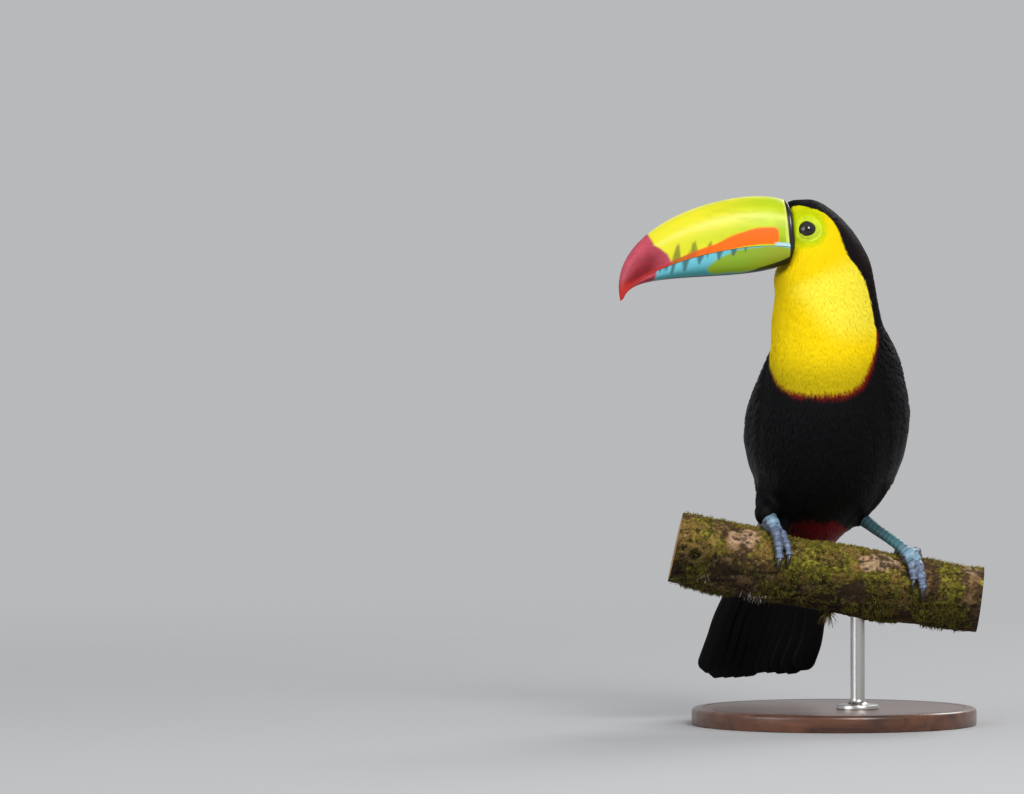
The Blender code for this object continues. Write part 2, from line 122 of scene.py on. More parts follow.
def valueNoise(points, size, seed):
    # random values on a cubic lattice of that cell size, blended by 3t^2 - 2t^3 along each side, from -1 to 1
    cell = np.asarray(points) / size
    low = np.floor(cell).astype(np.int64)
    t = cell - low
    t = t * t * (3 - 2 * t)
    total = np.zeros(len(cell))
    for corner in np.ndindex(2, 2, 2):
        at = low + np.array(corner)
        code = (at[:, 0] * 73856093) ^ (at[:, 1] * 19349663) ^ (at[:, 2] * 83492791) ^ (seed * 2654435761)
        code = (code ^ (code >> 13)) * 1274126177
        code = code ^ (code >> 16)
        weight = np.prod(np.where(corner, t, 1 - t), axis=1)
        total += weight * ((code & 0xFFFF) / 32767.5 - 1)
    return total


def fractal(points, size, octaves, seed):
    # value noise added up, each octave half the size and half the strength of the last
    return sum(valueNoise(points, size / 2**k, seed + k) / 2**k for k in range(octaves))


def smoothRows(rows, steps):
    # Catmull-Rom curve through the rows, with that many rows to each span
    rows = np.asarray(rows, float)
    padded = np.vstack([2 * rows[0] - rows[1], rows, 2 * rows[-1] - rows[-2]])
    before, start, end, after = padded[:-3], padded[1:-2], padded[2:-1], padded[3:]
    t = (np.arange(steps) / steps)[:, None, None]
    spans = start + 0.5 * t * (end - before) + t**2 * (before - 2.5 * start + 2 * end - 0.5 * after)
    spans = spans + t**3 * (1.5 * (start - end) + 0.5 * (after - before))
    return np.vstack([spans.transpose(1, 0, 2).reshape(-1, rows.shape[1]), rows[-1]])


def rowAt(rows, place):
    # rows read at fractional places, straight between neighbours
    columns = np.arange(len(rows))
    return np.stack([np.interp(place, columns, column) for column in np.transpose(rows)], axis=-1)


def gridFaces(rows, columns, flip=False):
    # quads of a grid of points, its columns joined round
    k, j = np.meshgrid(np.arange(rows - 1), np.arange(columns), indexing="ij")
    after = (j + 1) % columns
    here, beyond = k * columns, (k + 1) * columns
    quads = np.stack([here + j, here + after, beyond + after, beyond + j], -1).reshape(-1, 4)
    return quads[:, ::-1] if flip else quads


def setPoints(mesh, points):
    mesh.vertices.foreach_set("co", (np.asarray(points) * mm).astype(np.float32).ravel())
    mesh.update()


def makeMesh(name, points, quads):
    mesh = bpy.data.meshes.new(name)
    mesh.vertices.add(len(points))
    setPoints(mesh, points)
    mesh.loops.add(quads.size)
    mesh.loops.foreach_set("vertex_index", quads.astype(np.int32).ravel())
    mesh.polygons.add(len(quads))
    mesh.polygons.foreach_set("loop_start", np.arange(len(quads), dtype=np.int32) * quads.shape[1])
    mesh.update(calc_edges=True)
    mesh.validate()
    mesh.shade_smooth()
    return mesh


def paint(mesh, colours):
    # one colour for each point, in the attribute that the materials read
    layer = mesh.attributes.new("tint", "FLOAT_COLOR", "POINT")
    rgba = np.ones((len(colours), 4), np.float32)
    rgba[:, :3] = np.clip(colours, 0, 1)
    layer.data.foreach_set("color", rgba.ravel())


def unwrap(mesh, name, places):
    # a UV map from one place for each point
    layer = mesh.uv_layers.new(name=name)
    corners = np.empty(len(mesh.loops), np.int32)
    mesh.loops.foreach_get("vertex_index", corners)
    layer.uv.foreach_set("vector", np.asarray(places)[corners].astype(np.float32).ravel())


def outward(mesh):
    # merges what touches, closes the small holes left at poles and ends, and turns the faces out
    shape = bmesh.new()
    shape.from_mesh(mesh)
    bmesh.ops.remove_doubles(shape, verts=shape.verts, dist=1e-6)
    bmesh.ops.holes_fill(shape, edges=shape.edges, sides=0)
    bmesh.ops.recalc_face_normals(shape, faces=shape.faces)
    if shape.calc_volume(signed=True) < 0:
        bmesh.ops.reverse_faces(shape, faces=shape.faces)
    shape.to_mesh(mesh)
    shape.free()


made = []  # the names of all pieces


def addObject(name, data):
    holder = bpy.data.objects.new(name, data)
    bpy.context.scene.collection.objects.link(holder)
    return holder


def addPiece(name, mesh, material, replaced=()):
    made.append(name)
    piece = addObject(name, mesh)
    mesh.materials.append(material)
    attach(piece, "root")
    if replaced:
        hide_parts(*replaced)
    return piece


def closedEnds(rings):
    # one more ring at each end, drawn in to 0.02 of the end ring's size
    first, last = (ring.mean(0) + 0.02 * (ring - ring.mean(0)) for ring in (rings[0], rings[-1]))
    return np.concatenate([first[None], rings, last[None]])


def tube(path, radii, up, segments):
    # Rings about a path, one radius each: middle + radius * (cos a * up + sin a * side), with side square to
    # path and up, and ends drawn together.
    tangents = unit(np.gradient(path, axis=0))
    side = unit(np.cross(tangents, up))
    up = np.cross(side, tangents)
    a = np.arange(segments) * 2 * math.pi / segments
    around = np.cos(a)[None, :, None] * up[:, None] + np.sin(a)[None, :, None] * side[:, None]
    return closedEnds(path[:, None] + radii[:, None, None] * around)


def lathe(profile, centre, segments):
    # (radius, height) points turned about an upright line through centre
    a = np.arange(segments) * 2 * math.pi / segments
    profile = np.asarray(profile)
    x = centre[0] + profile[:, :1] * np.cos(a)
    y = centre[1] + profile[:, :1] * np.sin(a)
    return np.stack([x, y, np.broadcast_to(profile[:, 1:], x.shape)], axis=-1)


def newGroup(name, values, outputs):
    # a group that takes a Vector and the named numbers, and puts out the named values
    group = bpy.data.node_groups.new(name, "ShaderNodeTree")
    group.interface.new_socket(name="Vector", in_out="INPUT", socket_type="NodeSocketVector")
    for label, value in values.items():
        socket = group.interface.new_socket(name=label, in_out="INPUT", socket_type="NodeSocketFloat")
        socket.default_value = value
    for label in outputs:
        group.interface.new_socket(name=label, in_out="OUTPUT", socket_type="NodeSocketFloat")
    return group, group.nodes.new("NodeGroupInput").outputs, group.nodes.new("NodeGroupOutput")


def setInputs(tree, node, inputs):
    # each input gets a plain value, or is linked to the socket given for it
    for label, value in dict(inputs).items():
        if isinstance(value, bpy.types.NodeSocket):
            tree.links.new(value, node.inputs[label])
        else:
            node.inputs[label].default_value = value


def addNode(tree, kind, inputs=(), **settings):
    node = tree.nodes.new(kind)
    for label, value in settings.items():
        setattr(node, label, value)
    setInputs(tree, node, inputs)
    return node


def doMath(tree, operation, *values):
    return addNode(tree, "ShaderNodeMath", dict(enumerate(values)), operation=operation).outputs[0]


def newMaterial(name, inputs):
    material = bpy.data.materials.new(name)
    material.use_nodes = True
    shader = material.node_tree.nodes["Principled BSDF"]
    setInputs(material.node_tree, shader, inputs)
    return material, material.node_tree, shader


def grainGroup():
    # noise as a height for bump, and as a shade about 1 to multiply a colour by
    group, given, end = newGroup("fineGrain", {"Scale": 300.0, "Amount": 0.2}, ("Height", "Shade"))
    noise = {"Vector": given["Vector"], "Scale": given["Scale"], "Detail": 6.0, "Roughness": 0.6}
    height = addNode(group, "ShaderNodeTexNoise", noise).outputs["Fac"]
    centred = doMath(group, "SUBTRACT", height, 0.5)
    shade = doMath(group, "ADD", doMath(group, "MULTIPLY", centred, given["Amount"]), 1.0)
    setInputs(group, end, {"Height": height, "Shade": shade})
    return group


def barbGroup():
    # Fine slanted lines either side of a feather's shaft: sin(count * (along + slant * |across|)), as height
    # and shade. The vane map holds along in u and across in v, the shaft at v = 0.5.
    values = {"Count": 260.0, "Slant": 0.35, "Amount": 0.25}
    group, given, end = newGroup("featherBarbs", values, ("Height", "Shade"))
    split = addNode(group, "ShaderNodeSeparateXYZ", {0: given["Vector"]}).outputs
    across = doMath(group, "ABSOLUTE", doMath(group, "SUBTRACT", split["Y"], 0.5))
    slanted = doMath(group, "ADD", doMath(group, "MULTIPLY", across, given["Slant"]), split["X"])
    wave = doMath(group, "SINE", doMath(group, "MULTIPLY", slanted, given["Count"]))
    height = doMath(group, "ADD", doMath(group, "MULTIPLY", wave, 0.5), 0.5)
    shade = doMath(group, "ADD", doMath(group, "MULTIPLY", wave, given["Amount"]), 1.0)
    setInputs(group, end, {"Height": height, "Shade": shade})
    return group


grain = grainGroup()
barbs = barbGroup()

finishes = {  # bump is its depth in mm, scale and amount are the grain's, barbs the count of lines to a vane
    "yellowPlumage": {
        "roughness": 0.75, "specular": 0.12, "bump": 0.03, "scale": 900, "amount": 0.12, "barbs": 40,
    },
    "blackPlumage": {
        "roughness": 0.52, "specular": 0.11, "bump": 0.05, "scale": 700, "amount": 0.5, "barbs": 60,
    },
    "flightPlumage": {
        "roughness": 0.48, "specular": 0.14, "bump": 0.05, "scale": 500, "amount": 0.4, "barbs": 420,
    },
    "birdSkin": {"roughness": 0.7, "specular": 0.1, "bump": 0.25, "scale": 1200, "amount": 0.3},
    "faceSkin": {"roughness": 0.5, "specular": 0.3, "bump": 0.08, "scale": 1500, "amount": 0.2},
    "billHorn": {
        "roughness": 0.42, "specular": 0.24, "coat": 0.05, "bump": 0.03, "scale": 120, "amount": 0.16,
        "stretch": (0.25, 1.0, 1.6),
    },
    "rimHorn": {"roughness": 0.3, "coat": 0.3, "bump": 0.08, "scale": 600, "amount": 0.6},
    "eyeWet": {"roughness": 0.06, "coat": 0.3, "bump": 0, "scale": 1500, "amount": 0.5},
    "footSkin": {"roughness": 0.42, "coat": 0.1, "bump": 0.10, "scale": 1500, "amount": 0.4},
    "clawHorn": {"roughness": 0.3, "coat": 0.3, "bump": 0.04, "scale": 900, "amount": 0.5},
    "barkMoss": {"roughness": 0.9, "specular": 0.15, "bump": 1.2, "scale": 800, "amount": 1.7},
    "mossLeaf": {"roughness": 0.8, "specular": 0.2, "bump": 0, "scale": 500, "amount": 0.8},
}


def addGrain(tree, scale, amount, stretch=(1, 1, 1)):
    # the grain on the piece's own coordinates, squeezed by the stretch
    place = addNode(tree, "ShaderNodeTexCoord").outputs["Object"]
    place = addNode(tree, "ShaderNodeMapping", {"Vector": place, "Scale": stretch}).outputs["Vector"]
    values = {"Vector": place, "Scale": scale, "Amount": amount}
    return addNode(tree, "ShaderNodeGroup", values, node_tree=grain).outputs, place


def scaled(tree, colour, shade):
    return addNode(tree, "ShaderNodeVectorMath", {0: colour, "Scale": shade}, operation="SCALE").outputs[0]


def addBump(tree, shader, height, depth):
    bump = addNode(tree, "ShaderNodeBump", {"Height": height, "Distance": depth * mm, "Strength": 1.0})
    setInputs(tree, shader, {"Normal": bump.outputs["Normal"]})


def makeMaterial(name):
    # base colour from the tint painted on the mesh, times grain and barbs, with one of them as bump
    finish = finishes[name]
    inputs = {
        "Roughness": finish["roughness"],
        "Coat Weight": finish.get("coat", 0.0),
        "Coat Roughness": 0.12,
        "Specular IOR Level": finish.get("specular", 0.5),
    }
    material, tree, shader = newMaterial(name, inputs)
    tint = addNode(tree, "ShaderNodeAttribute", attribute_name="tint").outputs["Color"]
    lines, _ = addGrain(tree, finish["scale"], finish["amount"], finish.get("stretch", (1, 1, 1)))
    colour = scaled(tree, tint, lines["Shade"])
    if "barbs" in finish:
        vane = addNode(tree, "ShaderNodeUVMap", uv_map="vane").outputs["UV"]
        values = {"Vector": vane, "Count": finish["barbs"]}
        lines = addNode(tree, "ShaderNodeGroup", values, node_tree=barbs).outputs
        colour = scaled(tree, colour, lines["Shade"])
    setInputs(tree, shader, {"Base Color": colour})
    if finish["bump"]:
        addBump(tree, shader, lines["Height"], finish["bump"])
    return material


materials = {name: makeMaterial(name) for name in finishes}
print("materials made")

headShape = {
    "yaw": 77.0,  # degrees from -Y towards -X
    "origin": (-33.6, -20.4, 345.8),  # middle of the bill's base
    # front (forward, up), back (forward, up), half width, yaw
    "sections": (
        ((0.6, -22.4), (0.6, 21.8), 18.2, 77),
        ((-1.0, -25.6), (-10.5, 22.9), 21.6, 77),
        ((7.0, -29.6), (-21.8, 19.8), 24.2, 77),
        ((9.2, -34.0), (-38.6, 7.0), 27.0, 77),
        ((8.2, -40.0), (-52.6, -12.0), 30.0, 75),
        ((7.8, -46.5), (-60.8, -33.0), 32.8, 68),
    ),
}
trunkShape = {  # middle x, y, z, yaw, pitch of the belly side, half depth, half width
    "sections": (
        (-6.3, -13.0, 286.0, 47, -1, 37.5, 37.2),
        (-4.6, -12.0, 266.0, 26, -7, 42.0, 39.6),
        (-4.0, -9.5, 245.0, 12, -13, 47.0, 45.0),
        (-5.2, -4.5, 222.0, 8, -19, 51.0, 49.5),
        (-6.5, 4.5, 200.0, 8, -25, 50.5, 50.2),
        (-7.0, 17.0, 178.0, 8, -31, 46.0, 46.0),
        (-11.5, 32.5, 156.5, 7, -36, 37.5, 41.0),
        (-19.5, 48.0, 134.0, 4, -38, 25.5, 32.0),
        (-27.5, 61.5, 112.0, 0, -34, 14.0, 28.5),
    ),
    "steps": 6,
}
headOrigin = np.array(headShape["origin"])
headYaw = math.radians(headShape["yaw"])
headForward = np.array([-math.sin(headYaw), -math.cos(headYaw), 0.0])
headLeft = np.array([math.cos(headYaw), -math.sin(headYaw), 0.0])
upright = np.array([0.0, 0.0, 1.0])


def headPoint(forward, up, side):
    # a place in the head's own plane and to its left
    forward, up, side = np.broadcast_arrays(forward, up, side)
    return headOrigin + forward[..., None] * headForward + up[..., None] * upright + side[..., None] * headLeft


def bodyRows():
    rows = []
    for front, back, width, yaw in headShape["sections"]:
        span = np.subtract(front, back)
        middle = headPoint((front[0] + back[0]) / 2, (front[1] + back[1]) / 2, 0.0)
        pitch = math.degrees(math.atan2(span[1], span[0]))
        rows.append((*middle, yaw, pitch, np.hypot(*span) / 2, width))
    return smoothRows(rows + list(trunkShape["sections"]), trunkShape["steps"])


def sectionAxes(rows):
    # middle, direction to the belly side, to the bird's left, and to the tail
    yaw, pitch = np.radians(rows[..., 3]), np.radians(rows[..., 4])
    zero = np.zeros_like(yaw)
    level = np.stack([-np.sin(yaw), -np.cos(yaw), zero], -1)
    front = np.cos(pitch)[..., None] * level + np.sin(pitch)[..., None] * upright
    left = np.stack([np.cos(yaw), -np.sin(yaw), zero], -1)
    return rows[..., :3], front, left, np.cross(left, front)


bodyAxis = bodyRows()
axisMiddle, axisFront, axisLeft, axisTail = sectionAxes(bodyAxis)


def bodyPlace(points):
    # Where a point is on the body: its place counted in sections from the face, its angle in degrees round
    # the section from the breast line (the bird's left is positive), and the way to the tail there. The place
    # is where the point lies in a section's plane; of several such planes the one it is nearest the middle of.
    places, angles, flows = [], [], []
    last = len(bodyAxis) - 1
    for part in np.array_split(points, max(1, len(points) // 20000)):
        away = part[:, None] - axisMiddle[None]
        along = np.einsum("nkj,kj->nk", away, axisTail)
        front = np.einsum("nkj,kj->nk", away, axisFront) / bodyAxis[:, 5]
        left = np.einsum("nkj,kj->nk", away, axisLeft) / bodyAxis[:, 6]
        reach = np.hypot(front, left)
        crossed = (along[:, :-1] >= 0) & (along[:, 1:] < 0)
        cost = np.where(crossed, reach[:, :-1], 1e3)
        k = np.argmin(cost, axis=1)
        n = np.arange(len(part))
        share = along[n, k] / np.maximum(along[n, k] - along[n, k + 1], 1e-6)
        none = cost[n, k] > 500
        before = none & (along[:, 0] < 0)
        k = np.where(before, 0, np.where(none, last - 1, k))
        beyond = 1 + along[:, -1] / 4.5
        share = np.where(before, along[:, 0] / 3.0, np.where(none, beyond, share))
        inside = np.clip(share, 0, 1)
        f = front[n, k] * (1 - inside) + front[n, k + 1] * inside
        l = left[n, k] * (1 - inside) + left[n, k + 1] * inside
        places.append((k + share) / trunkShape["steps"])
        angles.append(np.degrees(np.arctan2(l, f)))
        flows.append(unit(axisTail[k] * (1 - inside)[:, None] + axisTail[k + 1] * inside[:, None]))
    return np.concatenate(places), np.concatenate(angles), np.concatenate(flows)


def bodySurface(place, angle):
    # point of the smooth outline at a place and an angle: superellipse of power 2.15, and the way out there
    row = rowAt(bodyAxis, np.asarray(place) * trunkShape["steps"])
    middle, front, left, _ = sectionAxes(row)
    c, s = np.cos(np.radians(angle)), np.sin(np.radians(angle))
    share = outlineShare(c, s)
    point = middle + (row[..., 5] * c * share)[..., None] * front + (row[..., 6] * s * share)[..., None] * left
    return point, unit((c / row[..., 5])[..., None] * front + (s / row[..., 6])[..., None] * left)


eyeShape = {
    "radius": 6.55,
    "bare": (10.5, 8.6, 10.5, 8.0),  # how far the bare skin's colour reaches forward, back, up and down
}
eyeCentres = {}
for side in sides:
    low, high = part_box(f"eye_{side}")
    eyeCentres[side] = (np.array(low) + np.array(high)) / 2 / mm


def eyeReach(points):
    # distance from the nearer eye's middle in the head's side view, in shares of the bare skin's reach there
    away = points - headOrigin
    forward, up, side = away @ headForward, away[:, 2], away @ headLeft
    eye = eyeCentres["left"] - headOrigin
    f, u = forward - eye @ headForward, up - eye[2]
    ahead, behind, above, below = eyeShape["bare"]
    reach = np.where(f > 0, ahead, behind)
    rise = np.where(u > 0, above, below)
    return np.hypot(f / reach, u / rise) + 5 * (np.abs(side) < 8)


markings = {
    # edge of the yellow bib: place and half angle from the breast line
    "bibEdge": (
        (-1.0, 150), (0.4, 148), (1.5, 139), (2.3, 141), (2.8, 136), (3.2, 128), (3.6, 122), (4.05, 120.5),
        (4.5, 124), (4.9, 126), (5.3, 122), (5.65, 116), (6.0, 107), (6.56, 95), (7.0, 80),
        (7.33, 65), (7.71, 48), (7.89, 40), (8.03, 25), (8.08, 0),
    ),
    "placeLength": 21.5,  # mm on the neck from one place to the next
    "degreeLength": 0.78,  # mm round the neck to a degree
    "redBand": 3.4,  # width of the red line under the bib
    "ventPlace": 11.55,
    "tailPlane": ((-27.5, 61.5, 112.0), (0.0, 0.89, 0.46)),  # a place in it, and the way up from it
    "black": linear(6, 6, 8.5),
    "shadeUnderBill": linear(205, 180, 20),
    "yellow": linear(252, 218, 0),
    "highlightYellow": linear(255, 238, 66),
    "goldYellow": linear(255, 220, 0),
    "lime": linear(194, 210, 0),
    "limeYellow": linear(228, 226, 4),
    "shadeOlive": linear(168, 152, 6),
    "red": linear(120, 16, 8),
    "ventRed": linear(142, 6, 14),
    "ventDark": linear(60, 4, 10),
    "white": linear(238, 232, 215),
    "maroon": linear(42, 14, 16),
}
bibPlaces, bibAngles = np.array(markings["bibEdge"]).T


def markingColours(points, place, angle):
    # The plumage's colour: yellow inside the bib's edge, a red line just outside its lower half, red vent,
    # white over the tail's root, black elsewhere with a maroon nape, and lime towards the eye.
    reach = np.abs(angle) + 0.7 * valueNoise(points, 3.0, 11)
    steps, knots = np.linspace(0, 1, 90), np.linspace(0, 1, len(bibPlaces))
    edgePlace, edgeAngle = (np.interp(steps, knots, values) for values in (bibPlaces, bibAngles))
    gapPlace = (place[:, None] - edgePlace) * markings["placeLength"]
    gapAngle = (reach[:, None] - edgeAngle) * markings["degreeLength"]
    gap = np.hypot(gapPlace, gapAngle).min(axis=1)
    yellow = reach < np.interp(place, bibPlaces, bibAngles, right=-1)
    nape = smoothStep(110, 160, reach) * hump(place, 2.5, 4, 6, 9)
    width = markings["redBand"] * (1 + 0.35 * valueNoise(points, 9.0, 5))
    width = width * (0.45 + 0.55 * smoothStep(85, 30, reach))
    width = width * np.interp(angle, (-60, 0, 30), (0.55, 0.8, 1.15))
    band = smoothStep(1.25, 0.55, gap / width) * smoothStep(6.1, 6.6, place) * ~yellow
    vent = place - markings["ventPlace"] - 0.9 * (reach / 45) ** 3 + 0.16 * valueNoise(points, 2.4, 13)
    ventColour = mix(markings["ventRed"], markings["ventDark"], 0.6 * smoothStep(0.9, 0.0, vent + angle / 60))
    underTail = smoothStep(0, 0.12, vent) * (reach < np.interp(place, (12.0, 14.0), (95, 62)))
    tailPlace, tailUp = (np.array(row) for row in markings["tailPlane"])
    tailTop = smoothStep(13.4, 13.8, place) * smoothStep(-3, 0, (points - tailPlace) @ unit(tailUp))
    rump = smoothStep(12.9, 13.3, place) * smoothStep(112, 122, reach)
    colours = layered(markings["black"], markings, ("maroon", 0.45 * nape), ("red", band))
    colours = layered(mix(colours, ventColour, underTail), markings, ("black", tailTop), ("white", rump))
    toEye = eyeReach(points)
    # where painted shade falls under the bill, on the chin
    chinShade = smoothStep(48, 15, reach) * smoothStep(4.2, 2.6, place)
    bib = layered(
        markings["yellow"],
        markings,
        # a painted highlight on the bib's left side, where the light falls
        ("highlightYellow", 0.9 * hump(place, 3.6, 4.6, 6.0, 7.0) * smoothStep(20, 60, angle)),
        ("goldYellow", hump(place, 0.9, 2.0, 2.6, 3.8) * smoothStep(60, 95, reach)),
        ("limeYellow", 0.7 * smoothStep(3.4, 1.6, toEye) * smoothStep(2.6, 1.8, place)),
        ("lime", 0.95 * smoothStep(2.0, 1.05, toEye)),
        # painted shade: darker yellow under the bill's base
        ("shadeUnderBill", 0.5 * smoothStep(1.6, 0.4, place) * smoothStep(-9, -13, points[:, 2] - headOrigin[2])),
        # painted shade: olive on the chin under the bill, and on the lower bib, which faces down
        ("shadeOlive", np.maximum(0.35 * chinShade, 0.75 * smoothStep(6.8, 7.9, place))),
    )
    # the edge is blurred over 2 mm
    return mix(colours, bib, smoothStep(-1.0, 1.0, np.where(yellow, gap, -gap))), yellow


skinShape = {
    "nodes": ("head", "neck", "trunk", "wing_left", "wing_right", "thigh_left", "thigh_right"),
    "swell": 0.8,  # closes the gaps between the solids
    "voxel": 1.7,
    "smoothing": 14,
    # how deep the skin lies under the plumage's outline, by place along the body
    "coatDepth": (
        (0.0, 0.9), (1.5, 1.0), (3.0, 1.4), (5.0, 1.7), (7.0, 2.0), (12.5, 2.4), (13.5, 2.0), (16.0, 1.2),
    ),
    "thighDepth": 1.6,
    "waist": 8.0,  # how far the body is drawn in at both sides above the tail
    "crown": 1.8,  # fills back what smoothing took from the crown
    "shoulder": 1.8,  # the same at the left shoulder
    "flank": 2.2,  # draws in the right side above the leg
    "socketBall": 8.6,  # closes the eye socket behind the eyeball
    "tailRoot": (24.0, 8.5, 24.0),  # an ellipsoid where the tail starts
    "tailBack": (-12.0, 14.0, -33.0),  # the way it points
}
legShape = {  # toes: first and last x, first and last degrees round the branch, radius at the root
    "left": {
        "ball": (49.0, 28.0),  # x, and degrees from the branch's top towards the front
        "heel": (20.6, 10.0, 143.4),
        # middle, radii, where its feathers point
        "sock": ((20.2, 9.6, 144.8), (5.6, 6.0, 7.5), (24.0, 8.0, 133.0)),
        "thigh": ((27.6, 11.0, 171.0), (20.7, 10.6, 147.2)),
        "toes": (
            (52.0, 60.4, 30.0, 82.0, 4.0), (48.0, 53.0, 30.0, 70.0, 3.4),
            (50.0, 57.0, 24.0, -60.0, 3.5), (47.0, 38.5, 24.0, -44.0, 3.0),
        ),
    },
    "right": {
        "ball": (-50.5, 8.0),
        "heel": (-44.9, -0.6, 149.0),
        "sock": ((-49.4, -8.0, 149.0), (8.4, 10.0, 10.0), (-51.0, -15.0, 134.0)),
        "thigh": ((-39.0, 14.0, 178.0), (-46.2, 0.6, 146.4)),
        "toes": (
            (-50.4, -40.6, 10.0, 74.0, 4.1), (-47.0, -34.6, 10.0, 66.0, 3.3),
            (-52.5, -60.0, 4.0, -64.0, 3.5), (-48.5, -44.5, 4.0, -52.0, 3.0),
        ),
    },
}


def meshArrays(mesh):
    points = np.empty(len(mesh.vertices) * 3, np.float32)
    mesh.vertices.foreach_get("co", points)
    corners = np.empty(len(mesh.loops), np.int32)
    mesh.loops.foreach_get("vertex_index", corners)
    normals = np.empty(len(mesh.vertices) * 3, np.float32)
    mesh.vertex_normals.foreach_get("vector", normals)
    return points.reshape(-1, 3).astype(float) / mm, corners, normals.reshape(-1, 3).astype(float)


def edgeEnds(mesh):
    ends = np.empty(len(mesh.edges) * 2, np.int32)
    mesh.edges.foreach_get("vertices", ends)
    return ends.reshape(-1, 2)


def largestPart(mesh):
    # keeps the biggest connected shell, found by spreading the lowest point number along the edges
    edges = edgeEnds(mesh)
    label = np.arange(len(mesh.vertices))
    while True:
        lowest = label.copy()
        np.minimum.at(lowest, edges[:, 0], label[edges[:, 1]])
        np.minimum.at(lowest, edges[:, 1], label[edges[:, 0]])
        lowest = lowest[lowest]
        if (lowest == label).all():
            break
        label = lowest
    kinds, counts = np.unique(label, return_counts=True)
    loose = np.flatnonzero(label != kinds[np.argmax(counts)])
    if len(loose):
        shape = bmesh.new()
        shape.from_mesh(mesh)
        shape.verts.ensure_lookup_table()
        bmesh.ops.delete(shape, geom=[shape.verts[i] for i in loose], context="VERTS")
        shape.to_mesh(mesh)
        shape.free()


def voxelSkin(name, shapes, voxel, smoothing):
    # One closed skin round all the shapes: voxel remesh, then each point moved half way to the mean of its
    # neighbours, several times. Shapes are (points, quads or triangles).
    whole = bmesh.new()
    for points, faces in shapes:
        mesh = makeMesh("shape", points, faces)
        whole.from_mesh(mesh)
        bpy.data.meshes.remove(mesh)
    joined = bpy.data.meshes.new(name)
    whole.to_mesh(joined)
    whole.free()
    holder = addObject(name, joined)
    step = holder.modifiers.new("voxels", "REMESH")
    step.mode = "VOXEL"
    step.voxel_size = voxel * mm
    mesh = bpy.data.meshes.new_from_object(holder.evaluated_get(bpy.context.evaluated_depsgraph_get()))
    bpy.data.objects.remove(holder)
    largestPart(mesh)
    points, _, _ = meshArrays(mesh)
    edges = edgeEnds(mesh)
    ends = np.concatenate([edges, edges[:, ::-1]])
    count = np.bincount(ends[:, 0], minlength=len(points))[:, None]
    for _ in range(smoothing):
        sums = [np.bincount(ends[:, 0], points[ends[:, 1], k], len(points)) for k in range(3)]
        mean = np.stack(sums, 1) / count
        points = points + 0.5 * (mean - points)
    setPoints(mesh, points)
    mesh.shade_smooth()
    return mesh


def nodeShape(name, swell):
    # a merged copy of a solid, pushed out along its normals
    shape = bmesh.new()
    shape.from_mesh(frame["nodes"][name].data)
    bmesh.ops.remove_doubles(shape, verts=shape.verts, dist=1e-5)
    bmesh.ops.triangulate(shape, faces=shape.faces)
    mesh = bpy.data.meshes.new("shape")
    shape.to_mesh(mesh)
    shape.free()
    points, corners, normals = meshArrays(mesh)
    bpy.data.meshes.remove(mesh)
    return points + swell * normals, corners.reshape(-1, 3)


def ballShape(centre, radii, axes=np.eye(3), rows=24, columns=32):
    # an ellipsoid: centre + sum of radius * axis * (sin a cos b, sin a sin b, cos a)
    a = np.linspace(0.01, math.pi - 0.01, rows)[:, None]
    b = np.arange(columns) * 2 * math.pi / columns
    sphere = np.stack([np.sin(a) * np.cos(b), np.sin(a) * np.sin(b), np.cos(a) * np.ones_like(b)], -1)
    points = centre + (sphere * np.asarray(radii)) @ np.asarray(axes)
    return points.reshape(-1, 3), gridFaces(rows, columns, flip=True)


def distanceToLine(points, start, end):
    # distance to a straight piece of line, and the share of its length at the nearest place
    start, end = np.array(start), np.array(end)
    share = np.clip((points - start) @ (end - start) / ((end - start) @ (end - start)), 0, 1)
    return np.linalg.norm(points - start - share[:, None] * (end - start), axis=1), share


def thighShare(points):
    # 1 on a thigh, 0 on the body
    share = np.zeros(len(points))
    for leg in legShape.values():
        distance, _ = distanceToLine(points, *leg["thigh"])
        share = np.maximum(share, smoothStep(19, 13, distance))
    return share * smoothStep(186, 172, points[:, 2])


def coatDepth(points, place):
    # how deep the skin lies: by place, less at the heels, and nearly nothing at the bare skin round the eye
    depth = readOff(skinShape["coatDepth"], place)
    depth += (skinShape["thighDepth"] - depth) * thighShare(points)
    for leg in legShape.values():
        heel = np.linalg.norm(points - np.array(leg["heel"]), axis=1)
        depth = np.minimum(depth, 0.6 + 0.2 * heel)
    return np.minimum(depth, 0.45 + 1.6 * np.clip(eyeReach(points) - 1, 0, None))


